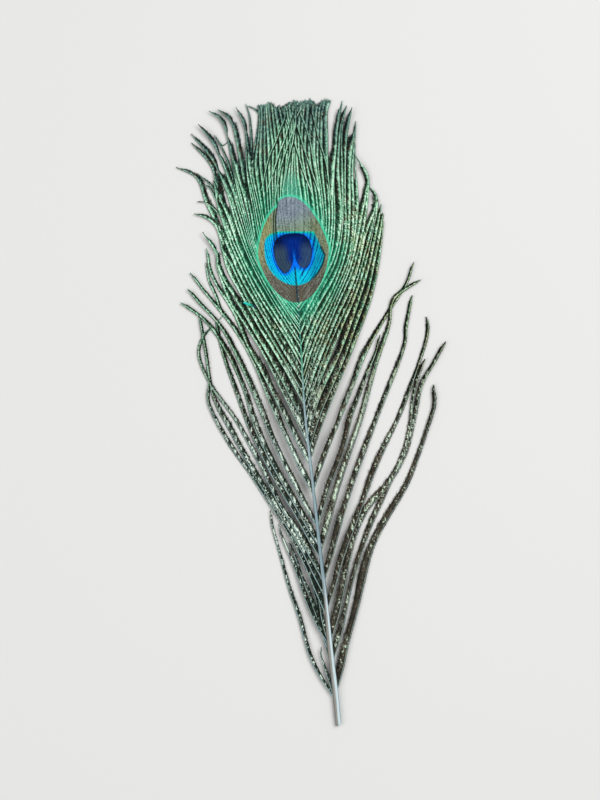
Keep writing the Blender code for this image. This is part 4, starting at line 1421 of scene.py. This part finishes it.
class FEATHER_OT_fleck(FeatherMaker, bpy.types.Operator):
    """Lay the stray bit of blue barb on the left vane"""

    bl_idname = "feather.fleck"
    bl_label = "Blue fleck"

    def execute(self, context):
        start, end = (np.array(point) for point in FLECK_ENDS)
        placed = in_frame(np.append((start + end) / 2, FLECK_HEIGHT))
        run = end - start
        bpy.ops.object.select_all(action="DESELECT")
        bpy.ops.mesh.primitive_cube_add(size=1.0, location=placed)
        fleck = context.object
        fleck.name = "blue_fleck"
        fleck.scale = (float(np.linalg.norm(run)) * MM, FLECK_WIDTH * MM, FLECK_THICKNESS * MM)
        fleck.rotation_euler.z = math.atan2(run[1], run[0])
        bpy.ops.object.mode_set(mode="EDIT")
        bpy.ops.mesh.select_all(action="SELECT")
        bpy.ops.mesh.subdivide(number_cuts=5)
        bpy.ops.object.mode_set(mode="OBJECT")
        for vertex in fleck.data.vertices:
            far = abs(vertex.co.x) * 2
            vertex.co.y *= 1 - 0.65 * far ** 3
            vertex.co.y += 0.12 * vertex.co.x
            vertex.co.z += 0.8 * (1 - (2 * vertex.co.y) ** 2) + 0.9 * vertex.co.x ** 2
        bpy.ops.object.transform_apply(location=True, rotation=True, scale=True)
        rounded = fleck.modifiers.new("rounded", "BEVEL")
        rounded.width = 0.05 * MM
        bpy.ops.object.modifier_apply(modifier=rounded.name)
        stand_for_feather(fleck, fleck_finish(self.values(context)[1]))
        return {"FINISHED"}


class FEATHER_OT_stage(FeatherMaker, bpy.types.Operator):
    """Set the pale floor, the soft lights and the camera straight above"""

    bl_idname = "feather.stage"
    bl_label = "Stage"

    def execute(self, context):
        sizes, colours = self.values(context)
        bpy.ops.object.select_all(action="DESELECT")
        bpy.ops.mesh.primitive_plane_add(size=FLOOR_SIZE, location=(0.0, 0.0, -FLOOR_DROP * MM))
        floor = context.object
        floor.name = "floor"
        floor.data.materials.append(floor_finish(colours))

        level = sizes.light_level
        for name, place, size, power, tone in LIGHTS:
            bpy.ops.object.light_add(type="AREA", location=place)
            light = context.object
            light.name = name
            light.data.energy = power * level
            light.data.size = size
            light.data.color = tone
            light.rotation_euler = Vector(place).to_track_quat("Z", "Y").to_euler()
        world = bpy.data.worlds.new("studio")
        world.use_nodes = True
        background = world.node_tree.nodes["Background"]
        background.inputs["Color"].default_value = WORLD_COLOUR
        background.inputs["Strength"].default_value = WORLD_LEVEL * level
        context.scene.world = world

        distance = VIEW_HEIGHT / SENSOR * CAMERA_LENS * MM
        bpy.ops.object.camera_add(
            location=(CAMERA_CENTRE[0] * MM, CAMERA_CENTRE[1] * MM,
                      distance + SUBJECT_HEIGHT * MM),
            rotation=(0.0, 0.0, math.radians(CAMERA_ROLL)))
        camera = context.object
        camera.data.lens = CAMERA_LENS
        camera.data.sensor_width = SENSOR
        camera.data.clip_end = 10.0
        context.scene.camera = camera
        context.scene.view_settings.view_transform = "Standard"
        return {"FINISHED"}


OPERATORS = (FEATHER_OT_shaft, FEATHER_OT_left_vane, FEATHER_OT_right_vane, FEATHER_OT_crown,
             FEATHER_OT_left_loose, FEATHER_OT_right_loose, FEATHER_OT_stray_tips,
             FEATHER_OT_fleck, FEATHER_OT_stage)


class FEATHER_PT_parts(bpy.types.Panel):
    """Lists the feather's parts"""

    bl_idname = "FEATHER_PT_parts"
    bl_label = "Peacock feather"
    bl_space_type = "VIEW_3D"
    bl_region_type = "UI"
    bl_category = "Feather"

    def draw(self, context):
        for values in (context.scene.feather_sizes, context.scene.feather_colours):
            box = self.layout.box()
            for key in values.__annotations__:
                box.prop(values, key)
        for operator in OPERATORS:
            self.layout.operator(operator.bl_idname)


CLASSES = (FeatherSizes, FeatherColours, *OPERATORS, FEATHER_PT_parts)


def register():
    for item in CLASSES:
        bpy.utils.register_class(item)
    bpy.types.Scene.feather_sizes = bpy.props.PointerProperty(type=FeatherSizes)
    bpy.types.Scene.feather_colours = bpy.props.PointerProperty(type=FeatherColours)


def unregister():
    del bpy.types.Scene.feather_colours
    del bpy.types.Scene.feather_sizes
    for item in reversed(CLASSES):
        bpy.utils.unregister_class(item)


def main():
    register()
    for operator in OPERATORS:
        group, name = operator.bl_idname.split(".")
        getattr(getattr(bpy.ops, group), name)()


if __name__ == "__main__":
    main()
